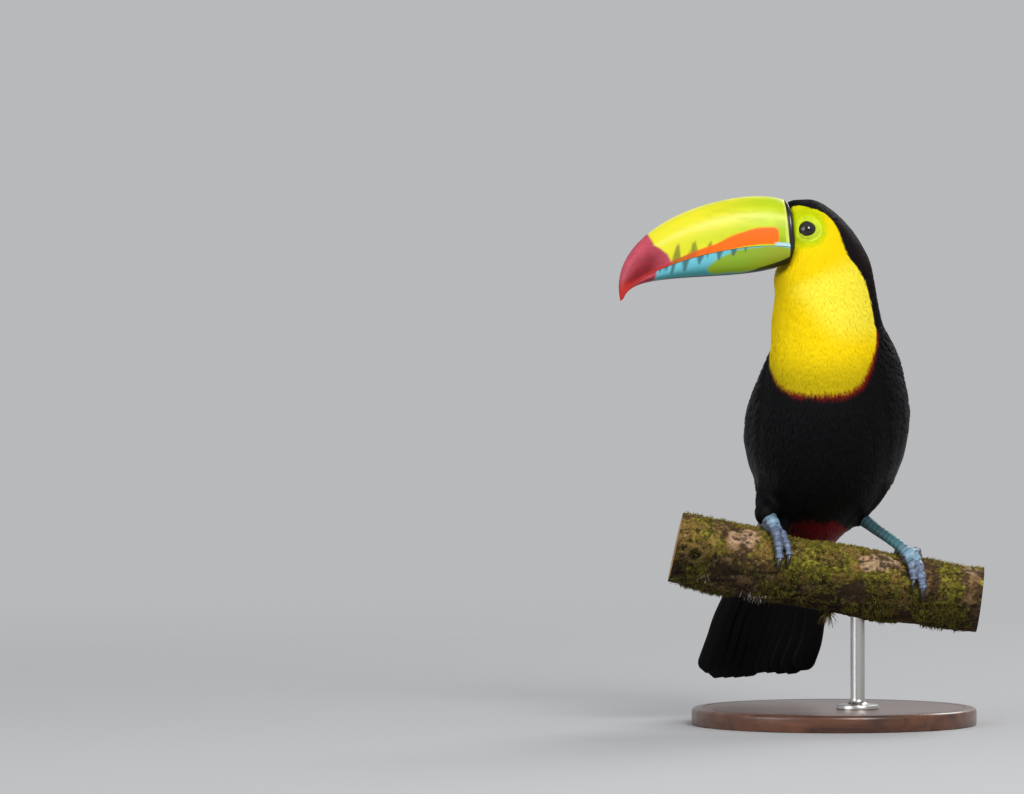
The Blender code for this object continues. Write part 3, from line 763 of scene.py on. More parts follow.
def buildSkin():
    # The solids, leg ends and tail root in one skin, then each point moved in along its normal by the coat's
    # depth. Waist, crown, shoulder and flank are bell curves over place, angle or height.
    shapes = [nodeShape(name, skinShape["swell"]) for name in skinShape["nodes"]]
    for side, sign in sides.items():
        shapes.append(ballShape(eyeCentres[side] - sign * 5.0 * headLeft, np.full(3, skinShape["socketBall"])))
    for leg in legShape.values():
        shapes.append(ballShape(*leg["sock"][:2]))
    back = unit(np.array(skinShape["tailBack"]))
    across = squareTo(axisLeft[-1], back)
    axes = (across, np.cross(back, across), back)
    shapes.append(ballShape(bodyAxis[-1, :3] + 6 * back, skinShape["tailRoot"], axes))
    mesh = voxelSkin("skin", shapes, skinShape["voxel"], skinShape["smoothing"])
    points, _, normals = meshArrays(mesh)
    place, angle, _ = bodyPlace(points)
    waist = skinShape["waist"] * bell(place, 13.0, 0.9) * np.sin(np.radians(angle))
    crown = skinShape["crown"] * smoothStep(105, 150, np.abs(angle)) * hump(place, 0.9, 2.2, 4.2, 5.4)
    shoulder = skinShape["shoulder"] * bell(place, 7.6, 0.7) * smoothStep(80, 100, angle)
    flank = bell(points[:, 2], 171, 7) * smoothStep(-38, -48, points[:, 0])
    depth = coatDepth(points, place) + 0.4 - crown - shoulder + skinShape["flank"] * flank
    points = points - depth[:, None] * normals - waist[:, None] * axisLeft[-1]
    setPoints(mesh, points)
    place, angle, _ = bodyPlace(points)
    paint(mesh, markingColours(points, place, angle)[0])
    return addPiece("skin", mesh, materials["birdSkin"], skinShape["nodes"])


skin = buildSkin()
print("skin:", len(skin.data.polygons), "faces")


def wrapPoints(target, points):
    # Nearest place on the target and the way out of it there: the points are wrapped on it at two heights.
    cloud = bpy.data.meshes.new("cloud")
    cloud.vertices.add(len(points))
    setPoints(cloud, points)
    holder = addObject("cloud", cloud)
    step = holder.modifiers.new("wrap", "SHRINKWRAP")
    step.target = target
    step.wrap_method = "NEAREST_SURFACEPOINT"
    step.wrap_mode = "ABOVE_SURFACE"
    found = []
    for height in (0.0, 1.0):
        step.offset = height * mm
        bpy.context.view_layer.update()
        moved = holder.evaluated_get(bpy.context.evaluated_depsgraph_get()).data
        places = np.empty(len(points) * 3, np.float32)
        moved.vertices.foreach_get("co", places)
        found.append(places.reshape(-1, 3).astype(float) / mm)
    bpy.data.objects.remove(holder)
    bpy.data.meshes.remove(cloud)
    return found[0], unit(found[1] - found[0])


def skinSamples(seed, perSquare):
    # random places spread over the skin, that many to a square millimetre at each of its points
    random = np.random.default_rng(seed)
    points, corners, _ = meshArrays(skin.data)
    starts = np.empty(len(skin.data.polygons), np.int32)
    skin.data.polygons.foreach_get("loop_start", starts)
    a, b, c, d = (corners[starts + k] for k in range(4))
    triangles = np.concatenate([np.stack([a, b, c], 1), np.stack([a, c, d], 1)])
    first, second, third = (points[triangles[:, k]] for k in range(3))
    area = np.linalg.norm(np.cross(second - first, third - first), axis=1) / 2
    share = area * perSquare[triangles].mean(axis=1)
    chosen = random.choice(len(share), int(share.sum()), p=share / share.sum())
    u, v = random.random((2, len(chosen), 1))
    over = u + v > 1
    u, v = np.where(over, 1 - u, u), np.where(over, 1 - v, v)
    return first[chosen] + u * (second[chosen] - first[chosen]) + v * (third[chosen] - first[chosen])


def thinned(points, spacing):
    # keeps one point of each cubic cell, then again with the cells moved by half
    keep = np.arange(len(points))
    for shift in (0.0, 0.5):
        cells = np.floor(points[keep] / (0.8 * spacing) + shift).astype(np.int64)
        _, first = np.unique(cells, axis=0, return_index=True)
        keep = keep[np.sort(first)]
    return keep


def wrappedMarch(roots, directions, lengths, rows, target=None):
    # Steps along the skin: each row is the last one moved by its share of the length and wrapped on the skin
    # again, with the direction kept in the surface. With a target, each step heads for it.
    centres, normals = [], []
    point, normal = wrapPoints(skin, roots)
    direction = directions
    for k in range(rows):
        if k:
            point, normal = wrapPoints(skin, point + direction * (lengths / (rows - 1))[:, None])
        if target is not None:
            direction = target - point
        direction = squareTo(direction, normal)
        centres.append(point)
        normals.append(normal)
    centres, normals = np.stack(centres, 1), np.stack(normals, 1)
    tangents = unit(np.gradient(centres, axis=1))
    return centres, normals, unit(np.cross(normals, tangents))


def vaneMesh(name, lines, halfWidth, height, style, colours, rootPlaces, material, slot, replaced=()):
    # Closed vanes, many to a piece, along lines of centres, normals and the way across. Each row is a flat
    # ring: centre + across * halfWidth * v + normal * (height - droop * halfWidth * v^2 +- thickness
    # * (1 - v^2)), v from -1 to 1 over the top and back below, with a ridge along the shaft in some styles.
    centres, normals, across = lines
    count, rows = centres.shape[:2]
    top = np.linspace(-1, 1, style["columns"])
    v = np.concatenate([top, top[-2:0:-1]])
    face = np.concatenate([np.ones(len(top)), -np.ones(len(top) - 2)])
    along = np.linspace(0, 1, rows)
    lift = height[..., None] - style["droop"] * halfWidth[..., None] * v**2  # droop makes the vane a low roof
    lift = lift + style["thickness"] * face * (1 - v**2)
    lift = lift + style.get("shaft", 0.0) * np.exp(-((v / 0.12) ** 2)) * face
    aside = (halfWidth[..., None] * v)[..., None]
    points = centres[:, :, None] + across[:, :, None] * aside + normals[:, :, None] * lift[..., None]
    ring = len(v)
    cap = np.array([[j, j + 1, ring - 2 - j, ring - 1 - j] for j in range(ring // 2 - 1)])
    faces = np.concatenate([gridFaces(rows, ring, flip=True), cap, (cap + (rows - 1) * ring)[:, ::-1]])
    quads = (faces[None] + (np.arange(count) * rows * ring)[:, None, None]).reshape(-1, 4)
    mesh = makeMesh(name, points.reshape(-1, 3), quads)
    if style.get("silk"):
        # shading normals drawn towards the skin's, so that the plumage shines as one surface
        own = meshArrays(mesh)[2]
        under = (normals[:, :, None] * face[:, None]).reshape(-1, 3)
        mesh.normals_split_custom_set_from_vertices(unit(own + style["silk"] * (under - own)))
    paint(mesh, np.repeat(colours, ring, axis=1).reshape(-1, 3))
    u = np.broadcast_to(along[None, :, None], (count, rows, ring))
    w = np.broadcast_to(0.5 + 0.5 * v, (count, rows, ring))
    patch = np.stack([u - 0.5, w - 0.5], -1) * 0.003
    unwrap(mesh, "OFBake", (rootPlaces[:, None, None] + patch).reshape(-1, 2))
    unwrap(mesh, "vane", np.stack([u, w], -1).reshape(-1, 2))
    return addPiece(name, mesh, material, replaced)


def skinPlaces(place, angle):
    # the skin laid flat: round the body to the right, from face to tail upwards
    return np.stack([0.5 + angle / 360 * 0.96, 0.02 + np.clip((place + 1) / 18, 0, 1) * 0.96], -1)


print("feather tools ready")

wingShape = {
    # place along the trunk from the neck base, lower and upper edge in degrees from the breast line
    "edges": (
        (0.5, 98, 120), (1.1, 80, 138), (2.1, 70, 152), (3.3, 70, 162),
        (4.6, 74, 167), (5.8, 85, 168), (6.9, 112, 166), (7.6, 130, 160),
    ),
    "covertsEnd": 4.5,
    "covertLengths": ((0.5, 8.0), (2.0, 13.0), (3.5, 19.0), (4.5, 21.0)),  # by place along the trunk
    "covertWidth": 0.24,  # half width to length
    "flights": 14,
    "flightRows": 16,
    "flightHalfWidth": 6.4,
    "flightRoots": (2.7, 3.9),  # places of the first and last flight's root
    # share of the way from the first flight to the last, place and angle of the tip
    "tips": ((0, 5.4, 90), (0.35, 6.9, 118), (0.75, 7.5, 146), (1, 7.0, 160)),
}
coatStyles = {  # spacing of the roots, rows and columns of a vane, droop of its edges, half thickness
    "face": {"spacing": 0.75, "rows": 4, "columns": 3, "droop": 0.15, "thickness": 0.05, "silk": 0.8},
    "neck": {"spacing": 1.0, "rows": 4, "columns": 3, "droop": 0.15, "thickness": 0.05, "silk": 0.9},
    "bib": {"spacing": 1.08, "rows": 4, "columns": 3, "droop": 0.15, "thickness": 0.06, "silk": 0.9},
    "body": {"spacing": 1.95, "rows": 5, "columns": 3, "droop": 0.2, "thickness": 0.08, "silk": 0.65},
    "vent": {"spacing": 2.2, "rows": 6, "columns": 3, "droop": 0.2, "thickness": 0.08, "silk": 0.65},
    "wing": {"spacing": 3.7, "rows": 7, "columns": 5, "droop": 0.14, "thickness": 0.14, "silk": 0.55},
}
coatSizes = {  # by place along the body: length and half width of a tuft
    "lengths": (
        (-1.0, 2.6), (1.0, 3.2), (2.0, 4.4), (4.0, 6.5), (6.0, 8.5),
        (8.0, 11.5), (10.0, 14.0), (12.0, 15.5), (14.0, 20.0),
    ),
    "halfWidths": (
        (-1.0, 0.42), (1.0, 0.48), (2.0, 0.64), (4.0, 0.8), (6.0, 0.92), (8.0, 1.3), (10.0, 1.7), (14.0, 2.2),
    ),
    "density": ((0, 8.0), (3, 6.0), (5, 4.5), (8, 4.0), (9, 2.0)),  # roots tried on a square millimetre
    "thighTuft": (11.0, 1.0),  # length and half width
    "mostTriangles": 190000,  # of one piece
}


def wingWhere(place, angle):
    # whether a point is inside the folded wing's outline, and its place along the trunk
    w, low, high = np.array(wingShape["edges"]).T
    along = place - len(headShape["sections"])
    above, below = np.abs(angle) > np.interp(along, w, low), np.abs(angle) < np.interp(along, w, high)
    return (along > w[0]) & (along < w[-1]) & above & below, along


def makeCoat():
    # every small feather: roots spread over the skin, thinned for each region, marched back along the lie
    points, _, _ = meshArrays(skin.data)
    roots = skinSamples(3, readOff(coatSizes["density"], bodyPlace(points)[0]))
    place, angle, flow = bodyPlace(roots)
    onWing, along = wingWhere(place, angle)
    thigh = thighShare(roots)
    yellow = markingColours(roots, place, angle)[1]
    breast = yellow | ((place < 8.2) & (np.abs(angle) < 75))
    coverts = onWing & (along < wingShape["covertsEnd"])
    where = [place < 1.7, place < 4.3, breast, coverts, place > 11.3]
    region = np.select(where, ["face", "neck", "bib", "wing", "vent"], "body")
    region[(thigh > 0.3) & (region != "bib")] = "bib"
    hidden = (place < 0.08) | (eyeReach(roots) < 0.93) | (place > 14.9)
    for name, style in coatStyles.items():
        chosen = np.flatnonzero((region == name) & ~hidden)
        chosen = chosen[thinned(roots[chosen], style["spacing"])]
        makeTufts(name, style, roots[chosen], place[chosen], angle[chosen], flow[chosen], thigh[chosen])


def roundTip(u, start, most):
    # outline of a rounded end: 1 up to start, then sqrt(1 - t^2), t from 0 there and no more than most
    return np.sqrt(np.clip(1 - np.clip((u - start) / (1 - start), 0, most) ** 2, 0, 1))


def makeTufts(name, style, roots, place, angle, flow, thigh):
    # One region's feathers. They point to the tail, on the thighs to the foot, lie flat at the root and rise
    # to the coat's depth, and narrow to a point, on the wing to a round end.
    random = np.random.default_rng(len(roots))
    count, rows = len(roots), style["rows"]
    onThigh = thigh > 0.3
    if name == "wing":
        lengths = readOff(wingShape["covertLengths"], place - len(headShape["sections"]))
        widths = lengths * wingShape["covertWidth"]
    else:
        lengths = readOff(coatSizes["lengths"], place) * (0.55 + 0.45 * smoothStep(1.0, 1.8, eyeReach(roots)))
        widths = readOff(coatSizes["halfWidths"], place)
    if name == "bib":
        longest, widest = coatSizes["thighTuft"]
        lengths = np.where(onThigh, longest, np.minimum(lengths, 9.0))
        widths = np.where(onThigh, widest, np.minimum(widths, 0.92))
    lengths = lengths * random.uniform(0.85, 1.15, count)
    widths = widths * random.uniform(0.85, 1.15, count)
    leftFoot, rightFoot = (np.array(legShape[side]["sock"][2]) for side in sides)
    flow = unit(flow + thigh[:, None] * 1.5 * unit(np.where(roots[:, :1] > -10, leftFoot, rightFoot) - roots))
    turn = random.normal(0, 0.10 if name in ("face", "neck", "bib") else 0.05, (count, 3))
    lines = wrappedMarch(roots, unit(flow + turn), lengths, rows)
    u = np.linspace(0, 1, rows)
    lift = coatDepth(roots, place) * random.uniform(0.96, 1.02, count) + (0.5 if name == "wing" else 0.0)
    height = lift[:, None] * (0.1 + 0.9 * u**0.85)
    if name == "wing":
        outline = (0.5 + 0.5 * smoothStep(0, 0.35, u)) * roundTip(u, 0.5, 0.985)
    else:
        outline = (0.5 + 0.5 * smoothStep(0, 0.4, u)) * (1 - 0.84 * smoothStep(0.45, 1.0, u))
    halfWidth = widths[:, None] * outline
    # coloured by the markings at each point of its shaft
    shaft = lines[0].reshape(-1, 3)
    shaftPlace, shaftAngle, _ = bodyPlace(shaft)
    tint, mask = markingColours(shaft, shaftPlace, shaftAngle)
    tint[np.repeat(onThigh, rows) & (shaftPlace > 9)] = markings["black"]
    yellow = mask.reshape(count, rows)[:, rows // 2]
    # painted shade towards each feather's root and, on the black ones, a painted sheen towards the tip; then a
    # random tone for each feather
    fade = np.where(yellow[:, None], 0.94 + 0.06 * u, 0.75 + 0.45 * u)
    fade = fade * (1 + np.where(yellow, 0.02, 0.12)[:, None] * random.normal(size=(count, 1)))
    colours = tint.reshape(count, rows, 3) * fade[..., None]
    rootPlaces = skinPlaces(place, angle)
    triangles = (rows - 1) * 4 * (style["columns"] - 1) + 4
    for colour, chosen in (("yellow", yellow), ("dark", ~yellow)):
        index = np.flatnonzero(chosen)
        if len(index) < 20:
            continue
        material = materials["yellowPlumage" if colour == "yellow" else "blackPlumage"]
        slot = "plumage_yellow" if colour == "yellow" else "plumage_black"
        shares = np.array_split(index, 1 + len(index) * triangles // coatSizes["mostTriangles"])
        for k, some in enumerate(shares):
            piece = f"feathers_{name}_{colour}_{k + 1}"
            vaneMesh(piece, [line[some] for line in lines], halfWidth[some], height[some], style,
                     colours[some], rootPlaces[some], material, slot)
            print(piece, len(some))


makeCoat()


def makeFlights():
    # long wing feathers of each side: from a root on the wing to a tip near its rear edge, over the skin
    style = {"columns": 7, "droop": 0.17, "thickness": 0.22, "shaft": 0.25}
    w, low, high = np.array(wingShape["edges"]).T
    first = len(headShape["sections"])
    count, rows = wingShape["flights"], wingShape["flightRows"]
    t, u = np.linspace(0, 1, count), np.linspace(0, 1, rows)
    start, end = wingShape["flightRoots"]
    places = start + (end - start) * t
    lowest = np.interp(places, w, low)
    angles = lowest + 9 + t * (np.interp(places, w, high) - lowest - 18)
    tipShares, *tips = np.array(wingShape["tips"]).T
    tipPlaces, tipAngles = (np.interp(t, tipShares, tip) for tip in tips)
    outline = (0.55 + 0.45 * smoothStep(0, 0.3, u)) * roundTip(u, 0.8, 0.97)
    halfWidth = np.broadcast_to(wingShape["flightHalfWidth"] * outline, (count, rows))
    height = 0.3 + (2.1 + 1.6 * t[:, None]) * smoothStep(0.0, 0.5, u) + 0.5 * u
    shades = 1 + 0.35 * np.sin(np.arange(count) * 2.4)
    # painted shade at the root and a painted sheen towards the tip
    colours = np.tile(markings["black"], (count, rows, 1)) * (0.85 + 0.25 * u)[None, :, None]
    for side, sign in sides.items():
        starts, _ = bodySurface(first + places, sign * angles)
        ends, _ = bodySurface(first + tipPlaces, sign * tipAngles)
        way = ends - starts
        lines = wrappedMarch(starts, unit(way), np.linalg.norm(way, axis=1), rows, ends + 0.35 * way)
        vaneMesh(f"wing_flights_{side}", lines, halfWidth, height, style, colours * shades[:, None, None],
                 skinPlaces(first + places, sign * angles), materials["flightPlumage"], "plumage_black")


makeFlights()
print("wing feathers made")

tailShape = {
    # middle x, y, z, half width, half thickness, bow of the fan
    "sections": (
        (-27.5, 61.5, 112.0, 28.5, 14.0, 0.0),
        (-33.6, 69.5, 96.5, 31.5, 9.0, 1.0),
        (-39.4, 75.5, 82.0, 36.2, 5.2, 2.5),
        (-44.9, 82.5, 64.0, 39.8, 2.8, 4.0),
        (-50.0, 88.5, 48.5, 39.4, 1.6, 5.0),
    ),
    "feathers": 10,
    "rows": 40,
    "halfWidth": 8.6,
    "tipReach": 21.5,
    "tipSlope": 8.7,
    "tipStep": 2.5,
    "layer": 0.8,
}


def tailReach(s):
    # how far the tips stand past the last section: a slope, a step in the middle, both corners rounded
    reach = tailShape["tipReach"] - tailShape["tipSlope"] * s - tailShape["tipStep"] * np.tanh(8 * s)
    return reach * (1 - 0.42 * np.clip(-s, 0, 1) ** 14) * (1 - 0.8 * np.clip(s, 0, 1) ** 7)


def makeTail():
    # long vanes in a fan: middle of the tail + s * width * left - bow * s^2 * up, s from -0.86 to 0.86
    sections = tailShape["sections"]
    rows = smoothRows(sections, 8)
    back = unit(np.subtract(sections[-1][:3], sections[-2][:3]))
    left = squareTo(axisLeft[-1], back)
    up = np.cross(left, back)
    count, steps = tailShape["feathers"], tailShape["rows"]
    s, u = np.linspace(-0.86, 0.86, count), np.linspace(0.08, 1, steps)
    length = np.linalg.norm(np.diff(rows[:, :3], axis=0), axis=1).sum()
    whole = length + (tailReach(np.clip(s * 1.08, -1, 1)) + 0.4)[:, None]
    far = u * whole
    row = rowAt(rows, np.clip(far / length, 0, 1) * (len(rows) - 1))
    middle = row[..., :3] + np.clip(far - length, 0, None)[..., None] * back
    layer = tailShape["layer"] * (1.6 - 2.4 * np.abs(s)) - 0.25 * s
    aside = s[:, None] * row[..., 3] * 0.93 * (0.72 + 0.28 * smoothStep(0.05, 0.4, u))
    above = layer[:, None] - row[..., 5] * (s**2)[:, None]
    centres = middle + aside[..., None] * left + above[..., None] * up
    tangents = unit(np.gradient(centres, axis=1))
    across = unit(np.cross(np.broadcast_to(-up, centres.shape), tangents))
    fromTip = np.clip(whole * (1 - u) / 9.0, 0, 1)
    outline = np.sqrt(np.clip(1 - (1 - fromTip) ** 2.2, 0.0, 1)) * (0.3 + 0.5 * smoothStep(0, 0.4, u) + 0.2 * u)
    halfWidth = np.maximum(tailShape["halfWidth"] * outline, 0.8)
    random = np.random.default_rng(12)
    colours = np.tile(markings["black"] * 0.8, (count, steps, 1)) * (0.85 + 0.3 * random.random((count, 1, 1)))
    style = {"columns": 9, "droop": 0.09, "thickness": 0.22, "shaft": 0.3}
    lines = (centres, np.cross(tangents, across), across)
    places = skinPlaces(np.full(count, 14.6), s * 100)
    flat = np.zeros_like(halfWidth)
    look = (materials["flightPlumage"], "plumage_black", ("tail",))
    vaneMesh("tail_feathers", lines, halfWidth, flat, style, colours, places, *look)


makeTail()
print("tail made")

billShape = {
    # cubic curves in the head's plane, (forward, up): upper ridge, mouth line, lower edge
    "culmen": ((0.3, 21.5), (26.5, 35.6), (133.22, 10.5), (120.0, -47.5)),
    "mouth": ((0.3, -10.3), (33.6, -3.8), (114.7, -22.9), (118.5, -46.0)),
    "gonys": ((0.3, -21.0), (25.9, -36.5), (110.3, -24.5), (116.9, -43.5)),
    "halfWidth": 18.0,
    "start": 0.018,
    "end": 0.9975,
    "rings": 236,
    "heights": 72,
}
billColours = {
    "limeBase": linear(188, 208, 20),
    "greenLow": linear(146, 176, 0),
    "yellow": linear(218, 212, 36),
    "pale": linear(234, 232, 128),
    "orange": linear(250, 94, 0),
    "orangeRed": linear(186, 84, 32),
    "paleBlue": linear(175, 212, 222),
    "maroon": linear(180, 72, 88),
    "darkMaroon": linear(122, 18, 30),
    "tipRed": linear(184, 44, 36),
    "blue": linear(104, 186, 202),
    "deepBlue": linear(66, 150, 158),
    "greenOval": linear(136, 168, 4),
    "oliveOval": linear(146, 158, 2),
    "wedge": linear(52, 80, 60),
    "smudge": linear(84, 90, 36),
    "slate": linear(48, 78, 84),
    "dark": linear(12, 14, 14),
    # forward place and height above the mouth line: top of the orange blaze
    "blaze": (
        (10, 13), (26, 13), (39.6, 10.5), (49.9, 7.5), (56.8, 5.7), (65.5, 4.6), (74, 3.9), (83, 3.0),
        (90, 2.2), (98, 1.4),
    ),
    "blazeStart": 10.5,
    "blazeCorner": 3.5,  # radius of its rear corners
    # height above the mouth line and forward place where the red tip starts
    "tipEdge": ((0, 86), (1.2, 86.2), (5.1, 87.4), (8.9, 88.7), (14.4, 93), (18.5, 97.3), (27, 99.9)),
    "lowerTipEdge": 97.0,
    # forward place and share of the way down: edges of the green oval; and thickness of the dark line below
    "ovalTop": ((1, 0.3), (3, 0.05), (36, 0.03), (41, 0.05), (48, 0.15), (54, 0.29), (60, 0.56), (63, 0.8)),
    "ovalBottom": (
        (0, 0.3), (2, 0.6), (5, 0.7), (15, 0.84), (25, 0.88), (40, 0.9), (52, 0.92), (58, 0.86), (62, 0.64),
        (64, 0.2),
    ),
    "underLine": ((2, 5.4), (8, 4.8), (14, 4.4), (22, 3.4), (27, 2.0), (31, 1.0), (90, 0.8), (97, 0.0)),
    # forward place, width and depth of the dark wedges at the mouth line
    "lowerWedges": (
        (94, 2, 3), (90, 2.8, 4), (84.6, 3.6, 7.5), (76, 5, 9), (66, 4.3, 6.3), (61, 1.5, 3), (52.6, 4.3, 7),
        (42, 3.6, 5), (34, 2.2, 3.5),
    ),
    "upperWedges": ((83.5, 6.4, 15), (71.5, 6, 13.5), (60.5, 4.5, 10.8)),
}


def cubic(points, t):
    # Bezier curve through its first and last point
    a, b, c, d = (np.array(point, float) for point in points)
    t = np.asarray(t)[..., None]
    return (1 - t) ** 3 * a + 3 * (1 - t) ** 2 * t * b + 3 * (1 - t) * t**2 * c + t**3 * d


def wedgeShare(forward, depth, wedges):
    # 1 inside a wedge: |forward - its place| under half its width, drawn in to its point at its depth
    share = np.zeros(len(forward))
    for at, width, far in wedges:
        half = 0.5 * width * np.clip(1 - depth / far, 0, 1) ** 0.75
        inside = smoothStep(1.1, -0.9, np.abs(forward - at) - half) * smoothStep(far, 0.75 * far, depth)
        share = np.maximum(share, inside)
    return share


def upperPaint(forward, up, height, a, wobble, ragged):
    # Lime to yellow with green flecks, a pale line along the ridge that is partly its own colour and partly
    # painted highlight, a painted highlight stripe along the side, dark wedges, and the orange blaze: inside
    # its top line and rounded rear corners, above a thin strip along the mouth. Also gives where the red tip
    # starts.
    c = billColours
    flecks = fractal(np.stack([forward * 0.25, up * 1.2, height * 12], -1), 3.0, 3, 24)
    # a pale line along the ridge, partly its own colour and partly painted highlight, and a painted highlight
    # stripe along the side
    ridge = 0.3 * smoothStep(0.12, 0.0, np.abs(height - 0.62)) + 0.6 * smoothStep(0.965, 0.99, height)
    radius = c["blazeCorner"]
    behind = np.clip(radius - (forward - c["blazeStart"]), 0, radius)
    inset = radius - np.sqrt(np.clip(radius**2 - behind**2, 0, None))
    blaze = smoothStep(-0.7, 0.8, forward - c["blazeStart"])
    blaze = blaze * smoothStep(0.7, -0.7, a - readOff(c["blaze"], forward) + inset + 0.4 * wobble)
    blaze = blaze * smoothStep(-0.3, 0.4, a - inset - np.interp(forward, (25, 48), (1.2, 0.1)))
    colours = layered(
        c["limeBase"],
        c,
        ("yellow", smoothStep(18, 62, forward + 10 * height)),
        ("greenLow", smoothStep(16, 9, forward) * smoothStep(0.62, 0.35, height)),
        ("pale", ridge),
        ("greenLow", 0.35 * hump(height, 0.72, 0.86, 0.9, 0.97) * smoothStep(70, 30, forward)),
        ("greenLow", 0.22 * smoothStep(0.1, 0.7, flecks) * smoothStep(80, 50, forward)),
        ("limeBase", 0.5 * hump(height, 0.1, 0.3, 0.42, 0.55) * smoothStep(95, 60, forward)),
        ("smudge", 0.72 * wedgeShare(forward + 0.12 * a + ragged, a + ragged, c["upperWedges"])),
    )
    colours = mix(colours, mix(c["orange"], c["orangeRed"], smoothStep(50, 84, forward)), 0.95 * blaze)
    colours = layered(
        colours,
        c,
        ("paleBlue", smoothStep(2.9, 2.2, a) * smoothStep(15, 11, forward)),
        ("pale", 0.6 * smoothStep(6.4, 4.4, forward) * smoothStep(2.5, 3.5, a)),
        ("wedge", 0.6 * smoothStep(0.45, 0.15, a) * hump(forward, 20, 30, 80, 90)),
    )
    return colours, readOff(c["tipEdge"], a)


def lowerPaint(forward, height, a, aboveLow, wobble, ragged):
    # Blue, with a green oval between two lines, dark wedges at the mouth and a dark line underneath. Also
    # gives where the red tip starts.
    c = billColours
    down = a / np.maximum(aboveLow + a, 1e-3)
    over, under = (readOff(c[edge], forward) for edge in ("ovalTop", "ovalBottom"))
    oval = smoothStep(-0.05, 0.05, down - over + 0.05 * wobble)
    oval = oval * smoothStep(0.08, -0.08, down - under + 0.05 * wobble)
    oval = oval * smoothStep(63, 59, forward + 2 * wobble)
    colours = mix(c["blue"], c["deepBlue"], smoothStep(0.75, 0.15, height))
    colours = mix(colours, mix(c["greenOval"], c["oliveOval"], smoothStep(40, 8, forward)), 0.96 * oval)
    wedges = wedgeShare(forward - 0.12 * a + 0.6 * ragged, a + 0.6 * ragged, c["lowerWedges"])
    dark = smoothStep(0.35, -0.25, aboveLow - readOff(c["underLine"], forward))
    return layered(colours, c, ("slate", 0.8 * wedges), ("dark", 0.97 * dark)), c["lowerTipEdge"]


def billPaint(forward, up, height, upper):
    # colours by place along the bill, height above or below the mouth line, and share of the mandible's height
    c = billColours
    t = np.linspace(0, 1, 300)
    aboveMouth, aboveLow = (up - readOff(cubic(billShape[edge], t), forward) for edge in ("mouth", "gonys"))
    wobble = 0.8 * valueNoise(np.stack([forward, up, height * 20], -1), 9.0, 21)
    ragged = 1.1 * valueNoise(np.stack([forward, up * 0.4, 0 * up], -1), 2.2, 22)
    if upper:
        a = aboveMouth
        colours, edge = upperPaint(forward, up, height, a, wobble, ragged)
    else:
        a = -aboveMouth
        colours, edge = lowerPaint(forward, height, a, aboveLow, wobble, ragged)
    tip = layered(
        c["maroon"],
        c,
        ("darkMaroon", smoothStep(0.9, 0.25, height + 0.12 * wobble) * smoothStep(86, 104, forward)),
        ("tipRed", 0.8 * smoothStep(3.0, 1.0, a) * upper),
    )
    streaks = valueNoise(np.stack([forward * 0.3 + up * 0.4, up * 2, height * 30], -1), 2.5, 23)
    tip = mix(tip * (1 + 0.16 * streaks)[:, None], c["tipRed"], smoothStep(-30, -40, up))
    return mix(colours, tip, smoothStep(-0.8, 1.4, forward - edge + 1.2 * wobble))


def billMandible(name, lowCurve, highCurve, upper):
    # Sections between two edges: half width 18 (1 - 0.30 t - 0.62 t^3), times sqrt(1 - h^2.6) above, down to a
    # narrow ridge, or sqrt(1 - (1 - h)^2.4) below, h from the lower edge to the upper. The wedges are shallow
    # notches at the mouth, and the upper mandible has a faint furrow beside its ridge.
    shape = billShape
    h = 0.5 - 0.5 * np.cos(np.linspace(0, math.pi, shape["heights"] + 1))
    t = 1 - (1 - np.linspace(shape["start"], shape["end"], shape["rings"])) ** 1.15
    low, high = cubic(lowCurve, t), cubic(highCurve, t)
    line = low[:, None] + h[:, None] * (high - low)[:, None]
    forward, up = line[..., 0], line[..., 1]
    if upper:
        profile = np.maximum(np.sqrt(np.clip(1 - h**2.6, 0, 1)), 0.16 * (1 - h) + 0.02)
        furrow = 0.25 * bell(h, 0.86, 0.05) * hump(forward, 6, 20, 70, 100)
        fromMouth, wedges = h, billColours["upperWedges"]
    else:
        profile = np.sqrt(np.clip(1 - (1 - h) ** 2.4, 0, 1)) * 0.96 + 0.02
        furrow = 0
        fromMouth, wedges = 1 - h, billColours["lowerWedges"]
    notch = sum(depth / 12 * bell(forward, at, 0.35 * width) for at, width, depth in wedges)
    width = shape["halfWidth"] * (1 - 0.30 * t - 0.62 * t**3)
    wide = width[:, None] * profile - 0.35 * notch * (1 - fromMouth) ** 6 - furrow
    rings = np.concatenate([headPoint(forward, up, wide), headPoint(forward, up, -wide)[:, ::-1]], axis=1)
    rings = closedEnds(rings)
    heights = np.broadcast_to(h, forward.shape)
    colours = billPaint(forward.ravel(), up.ravel(), heights.ravel(), upper).reshape(*forward.shape, 3)
    colours = np.concatenate([colours, colours[:, ::-1]], axis=1)
    colours = np.concatenate([colours[:1], colours, colours[-1:]])
    mesh = makeMesh(name, rings.reshape(-1, 3), gridFaces(len(rings), rings.shape[1]))
    paint(mesh, colours.reshape(-1, 3))
    outward(mesh)
    addPiece(name, mesh, materials["billHorn"], (f"bill_{name.split('_')[1]}",))


def movedCurve(points, up):
    return tuple((x, y + up) for x, y in points)


billMandible("mandible_upper", movedCurve(billShape["mouth"], 0.15), billShape["culmen"], True)
billMandible("mandible_lower", billShape["gonys"], movedCurve(billShape["mouth"], -0.15), False)

rimShape = {
    "halfThick": ((-22, 2.1), (-12, 2.1), (2, 1.75), (14, 1.6), (21, 1.1)),  # by height on the bill's base
    "bulge": 0.9,
    "forward": 2.1,
    "bow": 1.2,
    "halfHeight": 22.1,
    "halfWidth": 18.2,
    "turns": 220,
    "segments": 28,
    "black": linear(14, 14, 15),
}


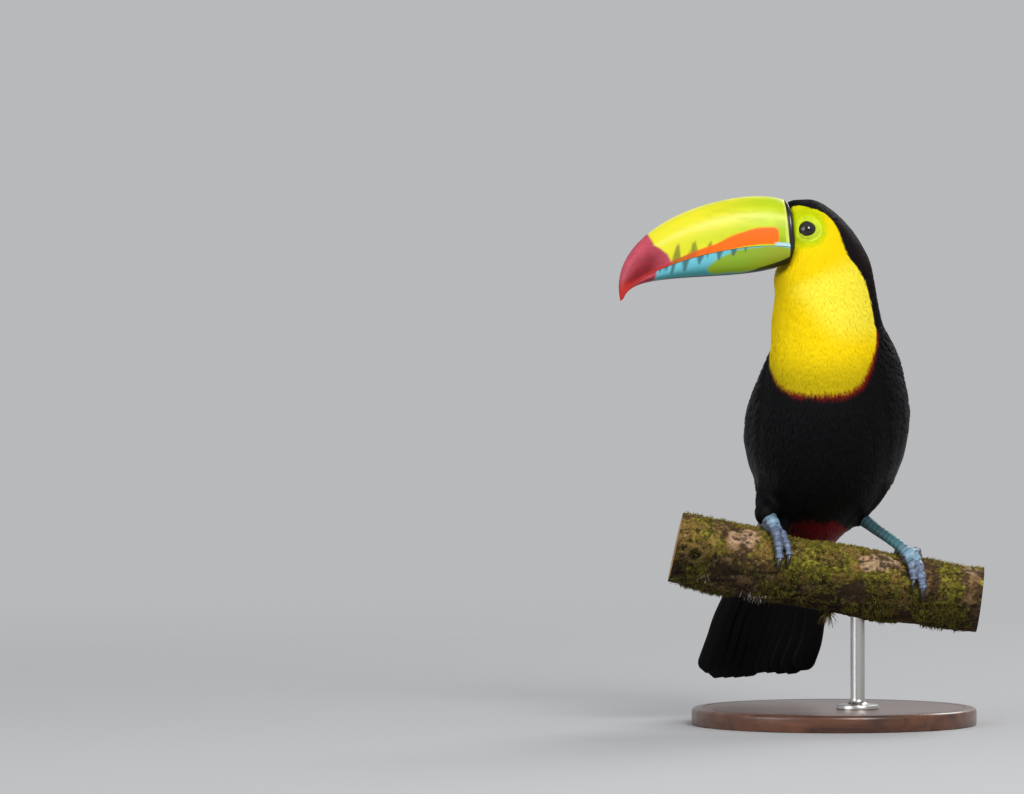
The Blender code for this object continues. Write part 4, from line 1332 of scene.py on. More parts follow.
def makeRim():
    # A closed band round the bill's base: middle line on the face's outline, section an ellipse of half
    # thickness across and bulge outwards, bowed back at the height of the mouth.
    a = np.arange(rimShape["turns"]) * 2 * math.pi / rimShape["turns"]
    b = np.arange(rimShape["segments"]) * 2 * math.pi / rimShape["segments"]
    c, s = np.cos(a), np.sin(a)
    share = outlineShare(c, s)
    up = -0.3 - rimShape["halfHeight"] * c * share
    side = rimShape["halfWidth"] * s * share
    forward = rimShape["forward"] + rimShape["bow"] * (c**2) - 1.2 * bell(up, -9, 8)
    ringForward = forward[:, None] + readOff(rimShape["halfThick"], up)[:, None] * np.cos(b)
    grow = 1 + (rimShape["bulge"] * np.sin(b)[None]) / np.hypot(up, side)[:, None]
    points = headPoint(ringForward, up[:, None] * grow, side[:, None] * grow)
    points = np.concatenate([points, points[:1]])
    mesh = makeMesh("bill_band", points.reshape(-1, 3), gridFaces(len(points), len(b)))
    paint(mesh, np.tile(rimShape["black"], (len(mesh.vertices), 1)))
    outward(mesh)
    addPiece("bill_band", mesh, materials["rimHorn"], ("bill_rim",))


makeRim()
print("bill made")

eyeColours = {
    "pupil": linear(3, 3, 4),
    "iris": linear(38, 33, 22),
    "irisEdge": linear(14, 12, 10),
    "ring": linear(188, 206, 24),
    "face": linear(188, 206, 0),
    "darkGreen": linear(112, 124, 0),
    "dash": linear(40, 44, 14),
}
eyeSkinShape = {
    "turns": 240,
    "steps": 44,
    "inner": 4.95,
    "reach": (11.2, 9.6, 11.4, 8.8),  # forward, back, up, down
    # height over the skin by distance from the eye's middle: lid, its rim, and down to the feathers
    "heights": (
        (4.9, 1.15), (5.3, 1.5), (5.8, 1.4), (6.4, 0.85), (7.2, 0.6), (8.5, 0.5), (10.5, 0.35), (12.0, 0.05),
    ),
}


def makeEye(side, sign):
    # a ball with a low clear bulge: radius 6.55 + 0.2 exp(-(angle / 0.5)^2), poles on the line of sight
    rows, columns = 72, 72
    angle = np.linspace(0.004, math.pi - 0.004, rows)[:, None]
    turn = np.arange(columns) * 2 * math.pi / columns
    look = unit(sign * headLeft + 0.06 * headForward)
    level = unit(np.cross(upright, look))
    around = np.cos(turn)[:, None] * level + np.sin(turn)[:, None] * np.cross(look, level)
    radius = eyeShape["radius"] + 0.2 * np.exp(-((angle / 0.5) ** 2))
    ball = np.cos(angle)[..., None] * look + np.sin(angle)[..., None] * around
    points = eyeCentres[side] + radius[..., None] * ball
    a = np.degrees(np.broadcast_to(angle, (rows, columns))).ravel()
    streakPlaces = np.stack([np.tile(np.cos(turn) * 9, rows), np.tile(np.sin(turn) * 9, rows), 0 * a], -1)
    iris = eyeColours["iris"] * (1 + 0.15 * valueNoise(streakPlaces, 1.0, 4)[:, None])
    colours = mix(eyeColours["pupil"], iris, smoothStep(25, 28, a))
    colours = mix(colours, eyeColours["irisEdge"], smoothStep(40, 52, a))
    mesh = makeMesh(f"eyeball_{side}", points.reshape(-1, 3), gridFaces(rows, columns))
    paint(mesh, colours)
    outward(mesh)
    addPiece(f"eyeball_{side}", mesh, materials["eyeWet"], (f"eye_{side}",))


def makeEyeSkin(side, sign):
    # A ring of bare skin: eye's middle + r (cos a forward + sin a up), r from the lid to the reach of the bare
    # skin, laid on the head and raised by a height that falls from the lid's rim to the feathers, with folds
    # round the eye and fine wrinkles across them.
    turns, steps = eyeSkinShape["turns"], eyeSkinShape["steps"]
    a = np.arange(turns) * 2 * math.pi / turns
    ahead, behind, above, below = eyeSkinShape["reach"]
    c, s = np.cos(a), np.sin(a)
    reach = 1 / np.hypot(c / np.where(c > 0, ahead, behind), s / np.where(s > 0, above, below))
    inner = eyeSkinShape["inner"]
    r = inner + (reach[None] - inner) * np.linspace(0, 1, steps)[:, None] ** 1.15
    flat = eyeCentres[side] + (r * c)[..., None] * headForward + (r * s)[..., None] * upright
    flat = flat + sign * 3.2 * headLeft
    base, normals = wrapPoints(skin, flat.reshape(-1, 3))
    turn, r = np.tile(a, steps), r.ravel()
    folds = 0.12 * np.sin(r * 3.4 + 0.8 * np.sin(2 * turn) + 1.5) * hump(r, 6.6, 7.4, 9, 12)
    wrinkles = 0.07 * valueNoise(np.stack([np.cos(turn) * 16, np.sin(turn) * 16, r * 0.8], -1), 1.0, 8)
    lumps = 0.06 * valueNoise(base, 0.7, 9)
    height = readOff(eyeSkinShape["heights"], r) + folds + wrinkles + lumps
    # painted shadow in the crease below the eye
    creaseShadow = smoothStep(0.4, 0.0, np.abs(r - 7.1 - 0.3 * np.sin(turn * 2)))
    creaseShadow = creaseShadow * smoothStep(0.2, -0.5, np.sin(turn))
    dashes = (np.sin(turn * 34) > 0.2) * smoothStep(-0.1, -0.4, np.sin(turn))
    colours = layered(
        eyeColours["face"],
        eyeColours,
        ("ring", smoothStep(7.2, 6.5, r)),
        ("darkGreen", 0.6 * creaseShadow),
        ("dash", 0.75 * dashes * smoothStep(0.28, 0.1, np.abs(r - 6.75))),
        ("darkGreen", smoothStep(5.6, 5.3, r)),
    )
    colours = (colours * (1 + 0.10 * valueNoise(base, 2.2, 3))[:, None]).reshape(steps, turns, 3)
    rings = (base + height[:, None] * normals).reshape(steps, turns, 3)
    under = rings[-1] - 1.2 * normals.reshape(steps, turns, 3)[-1]
    rings = np.concatenate([(rings[0] - 1.5 * sign * headLeft)[None], rings, under[None]])
    colours = np.concatenate([colours[:1], colours, colours[-1:]])
    mesh = makeMesh(f"eye_skin_{side}", rings.reshape(-1, 3), gridFaces(len(rings), turns, flip=sign < 0))
    paint(mesh, colours.reshape(-1, 3))
    addPiece(f"eye_skin_{side}", mesh, materials["faceSkin"])


for side, sign in sides.items():
    makeEye(side, sign)
    makeEyeSkin(side, sign)
print("eyes made")

perchShape = {
    "ends": (-111.6, 101.6),
    "y": -12.0,
    "height": 103.2,
    "slope": -0.172,
    "bow": 0.000225,
    "radius": 23.8,
    "taper": -0.010,
    "knobble": 0.8,
    "rings": 260,
    "segments": 216,
    "endRings": 14,
    "mossBlades": 14600,
    "knot": (-98.0, 93.0),  # along the branch, and degrees from its top towards the front
    "footClearance": 4.5,  # moss keeps this far from the toes' middle lines
}
perchColours = {
    "dark": linear(38, 30, 20),
    "brown": linear(74, 56, 36),
    "tan": linear(132, 104, 72),
    "bare": linear(190, 156, 126),
    "moss": linear(86, 82, 26),
    "brightMoss": linear(152, 148, 46),
    "dryMoss": linear(146, 112, 64),
    "lichen": linear(222, 220, 205),
    "wood": linear(196, 160, 112),
    "heartWood": linear(150, 108, 68),
}
# bare, pinkish places on the branch: along it, degrees from the top towards the front, size
barePatches = (
    (-66, 36, 11), (-73, 50, 7), (20, 50, 8), (29, 40, 9),
    (38, 34, 6), (92, 20, 9), (60, -40, 9), (-30, -60, 8),
)
# tufts: place along the branch, degrees from the top, leaves, their length, spread, lichen instead of moss
tufts = (
    (70, -6, 190, 4.2, 6.0, 0), (80, 6, 120, 3.8, 5.0, 0), (58, -14, 90, 3.2, 4.0, 0),
    (-100, 4, 120, 3.6, 5.0, 0), (-84, -10, 150, 3.6, 6.0, 0), (-8, -20, 110, 3.4, 5.0, 0),
    (-1, 176, 60, 9.0, 0.8, 0), (-52, 160, 26, 3.2, 4.0, 1), (-90, 130, 14, 2.6, 2.0, 1),
)


def perchPoint(x, turn, above):
    # a place on the branch: middle + (radius + above) * (cos turn * up + sin turn * front), and the way out
    p = perchShape
    slope = p["slope"] + 2 * p["bow"] * x
    zero = np.zeros_like(slope)
    up = unit(np.stack([-slope, zero, zero + 1], -1))
    middle = np.stack([x, zero + p["y"], p["height"] + p["slope"] * x + p["bow"] * x * x], -1)
    knobs = np.sin(0.061 * x + 2 * turn) + 0.7 * np.sin(0.113 * x - 3 * turn + 1.3)
    radius = p["radius"] + p["taper"] * x + p["knobble"] * knobs
    out = np.cos(turn)[..., None] * up + np.sin(turn)[..., None] * np.array([0.0, -1.0, 0.0])
    return middle + (radius + above)[..., None] * out, out


def footGap(points):
    # distance to the nearest toe or ball of a foot, so that bark and moss keep clear of them
    nearest = np.full(len(points), 1e3)
    for leg in legShape.values():
        for toe in leg["toes"]:
            path, _, _ = toePath(toe, 9)
            for place in path:
                nearest = np.minimum(nearest, np.linalg.norm(points - place, axis=1))
    return nearest


def toePath(toe, rows):
    # A toe lies on the bark as high as its own radius and swings to its tip's x early on, as share^0.75.
    x0, x1, turn0, turn1, root = toe
    share = np.linspace(0, 1, rows)
    radii = root * (1 - 0.26 * share) + 0.3 * np.cos(share * 6 * math.pi)
    x = x0 + share**0.75 * (x1 - x0)
    turn = np.radians(turn0 + share * (turn1 - turn0))
    path, out = perchPoint(x, turn, radii + 0.45)
    return path, radii, out


def mossShare(points):
    # where moss grows: patches of noise
    return fractal(points, 16.0, 4, 31) + 0.38


def fromPlace(x, turn, place):
    # distance on the bark from a place given along the branch and in degrees, 0.415 mm to the degree
    return np.hypot(x - place[0], (np.degrees(turn) - place[1]) * 0.415)


def bareShare(x, turn, points):
    # 1 inside a bare patch, its edge from 0.6 to 1.1 of its size and made ragged by noise
    share = np.zeros(len(points))
    for *place, size in barePatches:
        away = fromPlace(x, turn, place) / size
        share = np.maximum(share, smoothStep(1.1, 0.6, away + 0.35 * valueNoise(points, 4.0, 41)))
    return share


def barkRelief(points, x, turn):
    # cracks and plates: long ridges of noise drawn out along the branch, grains of noise on them, and the knot
    long = np.stack([points[:, 0] * 0.35, points[:, 1], points[:, 2]], -1)
    ridge = 1 - np.abs(fractal(long, 6.0, 3, 51))
    cushions = 1 - np.abs(fractal(points, 4.2, 2, 53))
    moss = smoothStep(-0.1, 0.4, mossShare(points))
    relief = 1.0 * (ridge - 0.75) + moss * (1.3 * (cushions - 0.6) + 0.5 * valueNoise(points, 1.5, 54))
    relief = relief + 0.4 * valueNoise(points, 2.0, 55) - 0.5 * bareShare(x, turn, points)
    away = fromPlace(x, turn, perchShape["knot"])
    knot = 1.0 * bell(away, 5.5, 1.6) - 2.2 * smoothStep(4.6, 2.0, away)
    relief = relief + knot
    return np.clip(relief, -2.2, 0.35 + 0.6 * smoothStep(3.5, 8.0, footGap(points)))


def underShade(turn):
    # 0 on the branch's upper half, 1 underneath, where the colour is darkened as painted shade
    below = np.degrees(np.abs((turn + math.pi) % (2 * math.pi) - math.pi))
    return smoothStep(58, 108, below)


def barkColours(points, x, turn, relief):
    # brown to tan by noise, bare places, moss from green to dry and brighter where it stands higher as painted
    # highlight, painted shade in the cracks, flecks of lichen, the knot's ring and hollow, and painted shade
    # underneath
    c = perchColours
    coarse = fractal(points, 7.0, 3, 61)
    fine = fractal(points, 1.6, 3, 63)
    colours = mix(c["brown"], c["tan"], smoothStep(-0.1, 0.9, coarse + 0.7 * fine))
    bare = bareShare(x, turn, points)
    colours = mix(colours, c["bare"], 0.9 * bare * smoothStep(-0.9, 0.1, fine + 0.4))
    moss = smoothStep(-0.1, 0.45, mossShare(points) + 0.35 * fine) * (1 - 0.85 * bare)
    # moss brighter where the bark stands higher: painted highlight, with random tone from noise
    green = mix(c["moss"], c["brightMoss"], smoothStep(-0.1, 0.8, fine + 0.5 * relief))
    dry = fractal(points, 8.0, 3, 67) + 0.45 * smoothStep(-30, -90, x) - 0.4 * smoothStep(40, 90, x)
    green = mix(green, c["dryMoss"], 0.75 * smoothStep(0.0, 0.6, dry))
    colours = mix(colours, green, 0.85 * moss)
    # painted shade in the cracks
    colours = mix(colours, c["dark"], 0.85 * smoothStep(-0.1, -0.9, relief + 0.4 * fine))
    colours = colours * (1 + 0.35 * valueNoise(points, 1.3, 65))[:, None]
    speck = valueNoise(points, 1.1, 71) > 0.78
    colours = mix(colours, c["lichen"], 0.35 * speck * (fractal(points, 11.0, 2, 73) > 0.25))
    away = fromPlace(x, turn, perchShape["knot"])
    colours = mix(colours, c["tan"], 0.8 * bell(away, 5.8, 1.3))
    colours = mix(colours, c["dark"], smoothStep(4.4, 2.6, away))
    # painted shade underneath
    return colours * (1 - 0.7 * underShade(turn))[:, None]


def makePerch():
    # bark rings drawn in at both ends to cut faces, whose rings step down to the middle
    p = perchShape
    x = np.linspace(*p["ends"], p["rings"])
    turn = np.arange(p["segments"]) * 2 * math.pi / p["segments"]
    xs, turns = (grid.ravel() for grid in np.meshgrid(x, turn, indexing="ij"))
    flat, out = perchPoint(xs, turns, np.zeros_like(xs))
    relief = barkRelief(flat, xs, turns)
    rings = (flat + relief[:, None] * out).reshape(len(x), len(turn), 3)
    colours = barkColours(flat, xs, turns, relief).reshape(len(x), len(turn), 3)
    shares = np.linspace(0.985, 0.004, p["endRings"])[:, None, None]
    capRings, capColours = [], []
    for end in (0, -1):
        middle = rings[end].mean(0)
        cut = middle + shares * (rings[end] - middle)
        away = np.linalg.norm(cut - middle, axis=-1)
        bend = 0.9 * np.sin(2 * turn + 1) + 0.6 * valueNoise(cut.reshape(-1, 3), 5.0, 81).reshape(away.shape)
        heart = 0.6 * (0.5 + 0.5 * np.sin(away * 3.6 + bend)) + 0.4 * smoothStep(14, 4, away)
        wood = mix(perchColours["wood"], perchColours["heartWood"], heart)
        capRings.append(cut)
        capColours.append(mix(wood, perchColours["dark"], smoothStep(0.955, 0.98, shares[..., 0])))
    rings = np.concatenate([capRings[0][::-1], rings, capRings[1]])
    colours = np.concatenate([capColours[0][::-1], colours, capColours[1]])
    mesh = makeMesh("branch", rings.reshape(-1, 3), gridFaces(len(rings), len(turn), flip=True))
    paint(mesh, colours.reshape(-1, 3))
    outward(mesh)
    addPiece("branch", mesh, materials["barkMoss"], ("perch",))


def growMoss(name, x, turn, tall, lichen, rows):
    # Leaves from the bark: root + u * height * lean - 0.3 u^2 * height * up, with a small wave to one side.
    random = np.random.default_rng(rows)
    count = len(x)
    roots, out = perchPoint(x, turn, np.zeros(count))
    relief = barkRelief(roots, x, turn)
    lean = unit(out + 0.6 * random.normal(size=(count, 3)))
    aside = random.normal(size=(count, 1, 3))
    fall = np.array([0, 0, -0.3])
    u = np.linspace(0, 1, rows)
    stem = (tall[:, None] * u)[..., None] * lean[:, None]
    wave = (0.12 * tall[:, None] * np.sin(9 * u + tall[:, None]))[..., None] * aside
    centres = roots[:, None] + (relief - 0.2)[:, None, None] * out[:, None] + stem
    centres = centres + (tall[:, None] * u**2)[..., None] * fall + wave
    tangents = unit(np.gradient(centres, axis=1))
    across = unit(np.cross(tangents, np.broadcast_to(random.normal(size=(count, 1, 3)), tangents.shape)))
    normals = np.cross(tangents, across)
    width = random.uniform(0.2, 0.4, count)[:, None] * (1 - 0.75 * u**2)
    tint = mix(perchColours["moss"], perchColours["brightMoss"], random.random(count))
    tint = mix(tint, perchColours["dryMoss"], 0.8 * (random.random(count) > 0.65))
    tint = mix(tint, perchColours["lichen"], 0.9 * lichen) * random.uniform(0.55, 1.5, (count, 1))
    # painted shade at each leaf's root and painted highlight towards its tip, and painted shade under the
    # branch
    colours = tint[:, None] * (0.45 + 0.75 * u)[None, :, None] * (1 - 0.6 * underShade(turn))[:, None, None]
    style = {"columns": 3, "droop": 0.1, "thickness": 0.12}
    places = np.stack([0.02 + 0.96 * (x + 115) / 220, 0.5 + turn / (2 * math.pi) * 0.96], -1)
    lines = (centres, normals, across)
    vaneMesh(name, lines, width, np.zeros_like(width), style, colours, places, materials["mossLeaf"], "bark")


def makeMoss():
    # short leaves scattered over the mossy places, away from the feet, then the longer tufts
    random = np.random.default_rng(44)
    count = 6 * perchShape["mossBlades"]
    x = random.uniform(perchShape["ends"][0] + 2, perchShape["ends"][1] - 2, count)
    turn = random.uniform(-math.pi, math.pi, count)
    roots, _ = perchPoint(x, turn, np.zeros(count))
    share = mossShare(roots) * (1 - bareShare(x, turn, roots)) - 0.55 * smoothStep(1.6, 2.6, np.abs(turn))
    grows = (share > random.uniform(-0.15, 0.6, count)) & (footGap(roots) > perchShape["footClearance"])
    keep = np.flatnonzero(grows)[: perchShape["mossBlades"]]
    growMoss("moss", x[keep], turn[keep], random.uniform(0.9, 2.4, len(keep)), np.zeros(len(keep)), 2)
    x, turn, tall, lichen = (np.zeros(0) for _ in range(4))
    for at, degrees, leaves, length, spread, pale in tufts:
        x = np.append(x, at + spread * random.normal(size=leaves))
        turn = np.append(turn, np.radians(degrees) + spread / 24 * random.normal(size=leaves))
        tall = np.append(tall, length * random.uniform(0.5, 1.1, leaves))
        lichen = np.append(lichen, np.full(leaves, pale))
    x = np.clip(x, perchShape["ends"][0] + 1, perchShape["ends"][1] - 1)
    clear = footGap(perchPoint(x, turn, np.zeros(len(x)))[0]) > perchShape["footClearance"]
    growMoss("moss_tufts", x[clear], turn[clear], tall[clear], lichen[clear], 4)


makePerch()
makeMoss()
print("branch made")

footShape = {
    "shankRadii": (4.6, 3.9, 4.4),
    "ballRadius": 6.4,
    "voxel": 0.42,
    "scute": 3.0,  # length of a scale on a toe
    "shankScute": 4.2,
    "claw": {"share": 0.8, "point": 0.3, "sweep": 24.0, "arch": 1.6},
}
footColours = {
    "toe": linear(54, 64, 80),
    "toeLitTop": linear(122, 138, 168),
    "joint": linear(146, 186, 208),
    "shank": linear(56, 112, 118),
    "sole": linear(92, 98, 100),
    "gap": linear(22, 28, 36),
    "claw": linear(26, 22, 22),
    "clawRoot": linear(66, 66, 72),
}


def shankPath(leg):
    # the bare shank: from the heel in the thigh's feathers down to the ball of the foot, bent just above it
    x, turn = leg["ball"]
    centre, out = perchPoint(np.array([float(x)]), np.radians([turn]), np.array([5.3]))
    centre, out = centre[0], out[0]
    heel = np.array(leg["heel"])
    bend = heel + 0.75 * (centre - heel) + 1.5 * out
    path = smoothRows([heel, (heel + bend) / 2, bend, centre], 24)
    radii = np.interp(np.linspace(0, 1, len(path)), (0, 0.45, 1), footShape["shankRadii"])
    return path, radii, centre, out


def lengthsAlong(line):
    return np.append(0, np.cumsum(np.linalg.norm(np.diff(line, axis=0), axis=1)))


def makeFoot(side, leg):
    # One skin round ball, toes and shank, then scales: grooves exp(-(from the middle of a gap / 0.09)^2) across
    # the upper side of each, at even steps along it, and pebbles of noise below.
    path, radii, centre, _ = shankPath(leg)
    lines = [(path, radii, np.broadcast_to((0.0, -1.0, 0.25), path.shape))]
    lines += [toePath(toe, 70) for toe in leg["toes"]]
    shapes = [ballShape(centre, (footShape["ballRadius"],) * 3)]
    for line, sizes, up in lines:
        rings = tube(line, sizes, up, 20)
        shapes.append((rings.reshape(-1, 3), gridFaces(len(rings), 20)))
    mesh = voxelSkin(f"foot_skin_{side}", shapes, footShape["voxel"], 4)
    points, _, normals = meshArrays(mesh)
    middle, size = (np.concatenate([line[part] for line in lines]) for part in (0, 1))
    ups = np.concatenate([squareTo(up, unit(np.gradient(line, axis=0))) for line, _, up in lines])
    far = np.concatenate([lengthsAlong(line) for line, _, _ in lines])
    nearest = np.concatenate([
        np.argmin(np.linalg.norm(some[:, None] - middle[None], axis=-1) - size[None], axis=1)
        for some in np.array_split(points, 12)
    ])
    top = (unit(points - middle[nearest]) * ups[nearest]).sum(1)
    onShank = nearest < len(path)
    step = np.where(onShank, footShape["shankScute"], footShape["scute"])
    phase = far[nearest] / step + 0.12 * valueNoise(points, 2.5, 94)
    upper = np.where(onShank, smoothStep(-0.2, 0.25, top), smoothStep(-0.15, 0.2, top))
    offBall = 1 - smoothStep(6.2, 4.8, np.linalg.norm(points - centre, axis=1))
    gap = bell(phase, np.round(phase), 0.09) * offBall
    pebble, pebbled = valueNoise(points, 0.9, 91), 1 - upper * offBall
    relief = -0.34 * gap * upper + 0.16 * pebble * pebbled + 0.03 * valueNoise(points, 0.5, 92)
    points = points + relief[:, None] * normals
    setPoints(mesh, points)
    c = footColours
    fromJoint = np.linalg.norm(points - centre, axis=1)
    # painted light: the toes' upper side lighter, and the joint's top light blue, partly its own paler colour
    # and partly painted highlight
    colours = layered(
        c["toe"],
        c,
        ("toeLitTop", smoothStep(0.2, 1.2, top + 0.4 * valueNoise(points, 1.6, 93)) * 0.75),
        ("joint", 0.6 * smoothStep(11, 5, fromJoint) * smoothStep(0.1, 0.9, top)),
    )
    chance = np.sin(np.round(phase) * 12.9898 + size[nearest]) * 43758.5453  # each scale's own shade
    colours = colours * (0.86 + 0.22 * (chance - np.floor(chance)))[:, None]
    colours = mix(colours, c["shank"], 0.85 * onShank * smoothStep(4, 14, fromJoint))
    # painted shade on the shank higher up, under the body
    colours = colours * (1 - 0.55 * onShank * smoothStep(15, 34, fromJoint))[:, None]
    net = smoothStep(0.35, 0.65, np.abs(pebble)) * pebbled * 0.4
    colours = layered(colours, c, ("sole", (1 - upper) * 0.7), ("gap", np.clip(0.8 * gap * upper + net, 0, 1)))
    paint(mesh, colours)
    addPiece(f"foot_skin_{side}", mesh, materials["footSkin"], (f"foot_{side}", f"shank_{side}"))


def makeClaws():
    # claws go on from the toes' ends: radius shrinking to a point, arched by sin(pi share) and swept round
    claw = footShape["claw"]
    points, colours, faces, names = [], [], [], []
    places = ("outer_front", "inner_front", "outer_rear", "inner_rear")
    for side, leg in legShape.items():
        for place, toe in zip(places, leg["toes"]):
            line, _, _ = toePath(toe, 60)
            sign = math.copysign(1, toe[3] - toe[2])
            share = np.linspace(0, 1, 40)
            root = claw["share"] * toe[4] * 0.76
            radii = root + (claw["point"] - root) * share**1.15
            turn = np.radians(toe[3] + sign * claw["sweep"] * share)
            above = radii + 0.5 + claw["arch"] * np.sin(math.pi * share)
            path, out = perchPoint(np.full(40, float(toe[1])), turn, above)
            path = path + line[-1] - path[0] - 1.2 * unit(path[1] - path[0])
            rings = tube(path, radii, out, 20)
            faces.append(gridFaces(len(rings), 20) + sum(len(p) for p in points))
            points.append(rings.reshape(-1, 3))
            along = smoothStep(0, 0.4, np.linspace(0, 1, len(rings)))
            tint = mix(footColours["clawRoot"], footColours["claw"], along)
            colours.append(np.repeat(tint, 20, axis=0))
            names.append(f"claw_{side}_{place}")
    mesh = makeMesh("claws", np.concatenate(points), np.concatenate(faces))
    paint(mesh, np.concatenate(colours))
    outward(mesh)
    addPiece("claws", mesh, materials["clawHorn"], names)


for side in sides:
    makeFoot(side, legShape[side])
makeClaws()
print("feet made")

standShape = {
    "radius": 100.0,
    "height": 12.0,
    "round": 3.0,
    "centre": (0.0, 6.0),
    "rodPlace": (16.0, -12.0),
    "rodRadius": 5.0,
    "flangeRadius": 15.0,
    "flangeHeight": 3.0,
    "woodLight": linear(104, 62, 38),
    "woodDark": linear(58, 30, 18),
}


def woodMaterial():
    # long grain: bands along X bent by noise, between two browns, with fine pores as bump
    finish = {"Roughness": 0.34, "Coat Weight": 0.3, "Coat Roughness": 0.15}
    material, tree, shader = newMaterial("standWood", finish)
    pores, place = addGrain(tree, 220.0, 0.35, (1.0, 9.0, 9.0))
    noise = {"Vector": place, "Scale": 9.0, "Detail": 8.0, "Roughness": 0.6, "Distortion": 0.6}
    bands = addNode(tree, "ShaderNodeTexNoise", noise)
    ramp = addNode(tree, "ShaderNodeValToRGB", {"Fac": bands.outputs["Fac"]})
    for end, colour, at in zip(ramp.color_ramp.elements, ("woodDark", "woodLight"), (0.35, 0.65)):
        end.color = (*standShape[colour], 1)
        end.position = at
    setInputs(tree, shader, {"Base Color": scaled(tree, ramp.outputs["Color"], pores["Shade"])})
    addBump(tree, shader, pores["Height"], 0.06)
    return material


def steelMaterial():
    # brushed round the rod: noise squeezed along it, as bump and roughness
    finish = {"Base Color": (0.55, 0.54, 0.52, 1.0), "Metallic": 1.0}
    material, tree, shader = newMaterial("standSteel", finish)
    lines, _ = addGrain(tree, 260.0, 0.6, (1.0, 1.0, 14.0))
    setInputs(tree, shader, {"Roughness": doMath(tree, "MULTIPLY", lines["Shade"], 0.3)})
    addBump(tree, shader, lines["Height"], 0.01)
    return material


def turnedPiece(name, profile, centre, segments, material, node):
    # an outline turned about an upright line, with its edges over 35 degrees kept sharp
    rings = lathe(profile, centre, segments)
    mesh = makeMesh(name, rings.reshape(-1, 3), gridFaces(len(rings), segments))
    outward(mesh)
    mesh.set_sharp_from_angle(angle=math.radians(35))
    addPiece(name, mesh, material, (node,))


def makeStand():
    # Plinth with a rounded rim and a turned groove; post with a disc at its foot and a hollow collar, both
    # roundings quarter circles of radius * (1 - cos t) and radius * (1 - sin t).
    s = standShape
    radius, height, bend = s["radius"], s["height"], s["round"]
    under = [(0.05, 0.0), (60.0, 0.0), (radius - 1.0, 0.0), (radius - 0.3, 0.3), (radius, 1.0)]
    rim = [
        (radius - bend * (1 - math.cos(t)), height - bend * (1 - math.sin(t)))
        for t in np.linspace(0, math.pi / 2, 14)
    ]
    groove = [(radius - back, height - deep) for back, deep in ((7.5, 0), (7.9, 0.5), (8.7, 0.5), (9.1, 0))]
    profile = [*under, *rim, *groove, (50.0, height), (0.05, height)]
    turnedPiece("stand_plinth", profile, s["centre"], 192, woodMaterial(), "stand_base")
    foot = height + 0.02
    flange = foot + s["flangeHeight"]
    r, f = s["rodRadius"], s["flangeRadius"]
    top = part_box("stand_rod")[1][2] / mm
    disc = [(0.05, foot), (f - 0.3, foot), (f, foot + 0.3)]
    disc += [(f, flange - 0.9), (f - 0.3, flange - 0.3), (f - 1.0, flange)]
    collar = [
        (r + 4.0 * (1 - math.sin(t)), flange + 0.3 + 4.0 * (1 - math.cos(t)))
        for t in np.linspace(0, math.pi / 2, 10)
    ]
    profile = [*disc, *collar, (r, top - 1.0), (r - 1.0, top), (0.05, top)]
    turnedPiece("stand_post", profile, s["rodPlace"], 96, steelMaterial(), "stand_rod")


makeStand()
print("stand made")

studio = {
    "floorRadius": 2600.0,
    "fadeFrom": 0.25,  # where the floor starts to melt into the background, in metres
    "fadeTo": 1.8,
    "floorPale": (0.42, 0.425, 0.435),
    "skyPale": (0.80, 0.81, 0.83),
    "skyStrength": 0.6,
    "keyPower": 38.0,
    "fillPower": 18.0,
    "rimPower": 20.0,
    "cameraDistance": 7.97,
    "cameraDrop": 2.0,  # degrees that the camera looks down
    "cameraAim": (-0.226, 0.0, 0.230),
    "lens": 400.0,
}


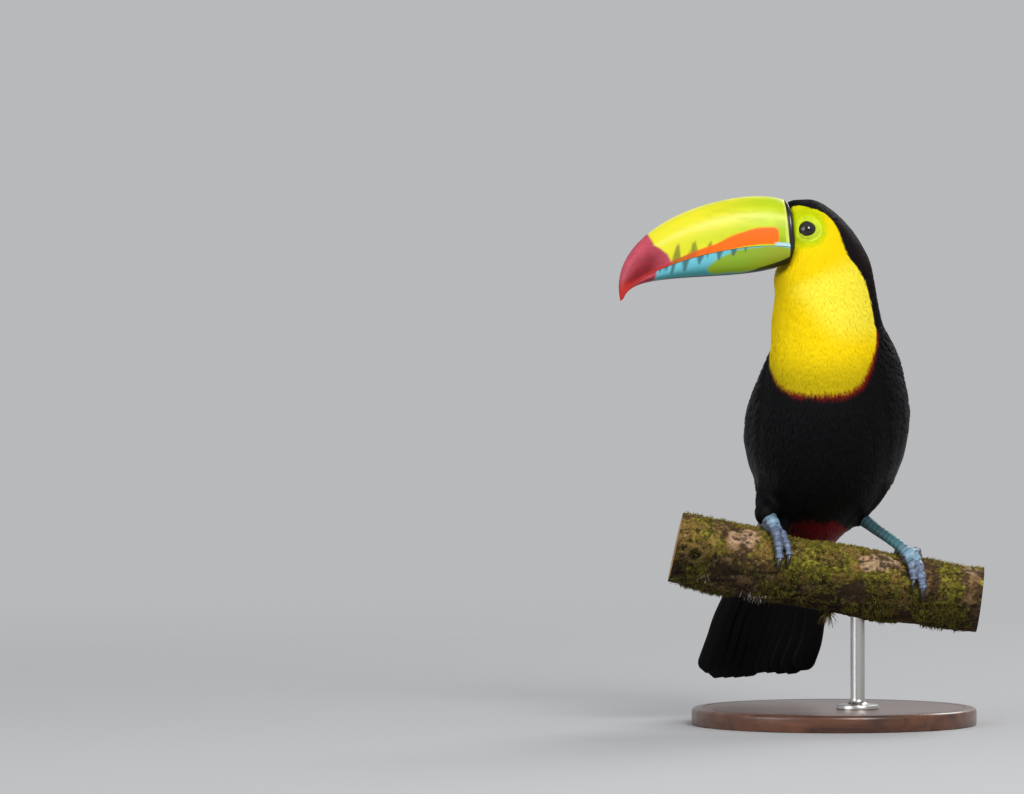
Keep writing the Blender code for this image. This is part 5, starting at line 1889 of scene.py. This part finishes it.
def makeFloor():
    # a pale disc that turns clear towards its edge: mix share from the distance to the middle
    a = np.arange(96) * 2 * math.pi / 96
    r = np.array([1.0, 400.0, 1200.0, studio["floorRadius"]])[:, None]
    points = np.stack([r * np.cos(a), r * np.sin(a), np.full((4, 96), -0.05)], -1)
    mesh = makeMesh("floor", points.reshape(-1, 3), gridFaces(4, 96, flip=True))
    finish = {"Base Color": (*studio["floorPale"], 1.0), "Roughness": 0.8}
    material, tree, shader = newMaterial("paleFloor", finish)
    place = addNode(tree, "ShaderNodeTexCoord").outputs["Object"]
    far = addNode(tree, "ShaderNodeVectorMath", {0: place}, operation="LENGTH").outputs["Value"]
    fade = {"Value": far, "From Min": studio["fadeFrom"], "From Max": studio["fadeTo"]}
    share = addNode(tree, "ShaderNodeMapRange", fade, interpolation_type="SMOOTHSTEP").outputs["Result"]
    clear = addNode(tree, "ShaderNodeBsdfTransparent").outputs["BSDF"]
    both = addNode(tree, "ShaderNodeMixShader", {"Fac": share, 1: shader.outputs["BSDF"], 2: clear})
    setInputs(tree, tree.nodes["Material Output"], {"Surface": both.outputs["Shader"]})
    floor = addObject("floor", mesh)
    mesh.materials.append(material)


def areaLight(name, place, aim, size, power, colour):
    light = bpy.data.lights.new(name, "AREA")
    light.shape = "DISK"
    light.size = size
    light.energy = power
    light.color = colour
    lamp = addObject(name, light)
    lamp.location = place
    lamp.rotation_euler = (Vector(aim) - Vector(place)).to_track_quat("-Z", "Y").to_euler()


def makeStudio():
    world = bpy.data.worlds.new("studio")
    bpy.context.scene.world = world
    world.use_nodes = True
    sky = world.node_tree.nodes["Background"]
    sky.inputs["Color"].default_value = (*studio["skyPale"], 1.0)
    sky.inputs["Strength"].default_value = studio["skyStrength"]
    areaLight("key", (0.7, -1.8, 1.5), (0, 0, 0.22), 1.1, studio["keyPower"], (1.0, 0.98, 0.95))
    areaLight("fill", (-1.8, -1.3, 0.8), (0, 0, 0.2), 1.6, studio["fillPower"], (0.95, 0.97, 1.0))
    areaLight("rim", (0.9, 1.6, 1.5), (0, 0, 0.25), 1.0, studio["rimPower"], (1.0, 1.0, 1.0))
    drop = math.radians(studio["cameraDrop"])
    aim = np.array(studio["cameraAim"])
    camera = bpy.data.cameras.new("camera")
    camera.lens = studio["lens"]
    camera.sensor_width = 36.0
    camera.clip_end = 60.0
    holder = addObject("camera", camera)
    holder.location = aim + studio["cameraDistance"] * np.array([0, -math.cos(drop), math.sin(drop)])
    holder.rotation_euler = (math.pi / 2 - drop, 0, 0)
    bpy.context.scene.camera = holder
    bpy.context.scene.view_settings.view_transform = "Standard"


makeFloor()
makeStudio()
print("studio made")


def countTriangles():
    totals = {}
    for piece in bpy.context.scene.objects:
        if piece.type == "MESH" and not piece.hide_render and piece.name in made:
            totals[piece.name] = sum(len(face.vertices) - 2 for face in piece.data.polygons)
    feathered = ("feathers", "wing_flights", "tail_feathers")
    coat = sum(count for name, count in totals.items() if name.startswith(feathered))
    largest = max(totals.items(), key=lambda item: item[1])
    print("triangles:", sum(totals.values()), "of them feathers:", coat, "most in one:", largest)


countTriangles()
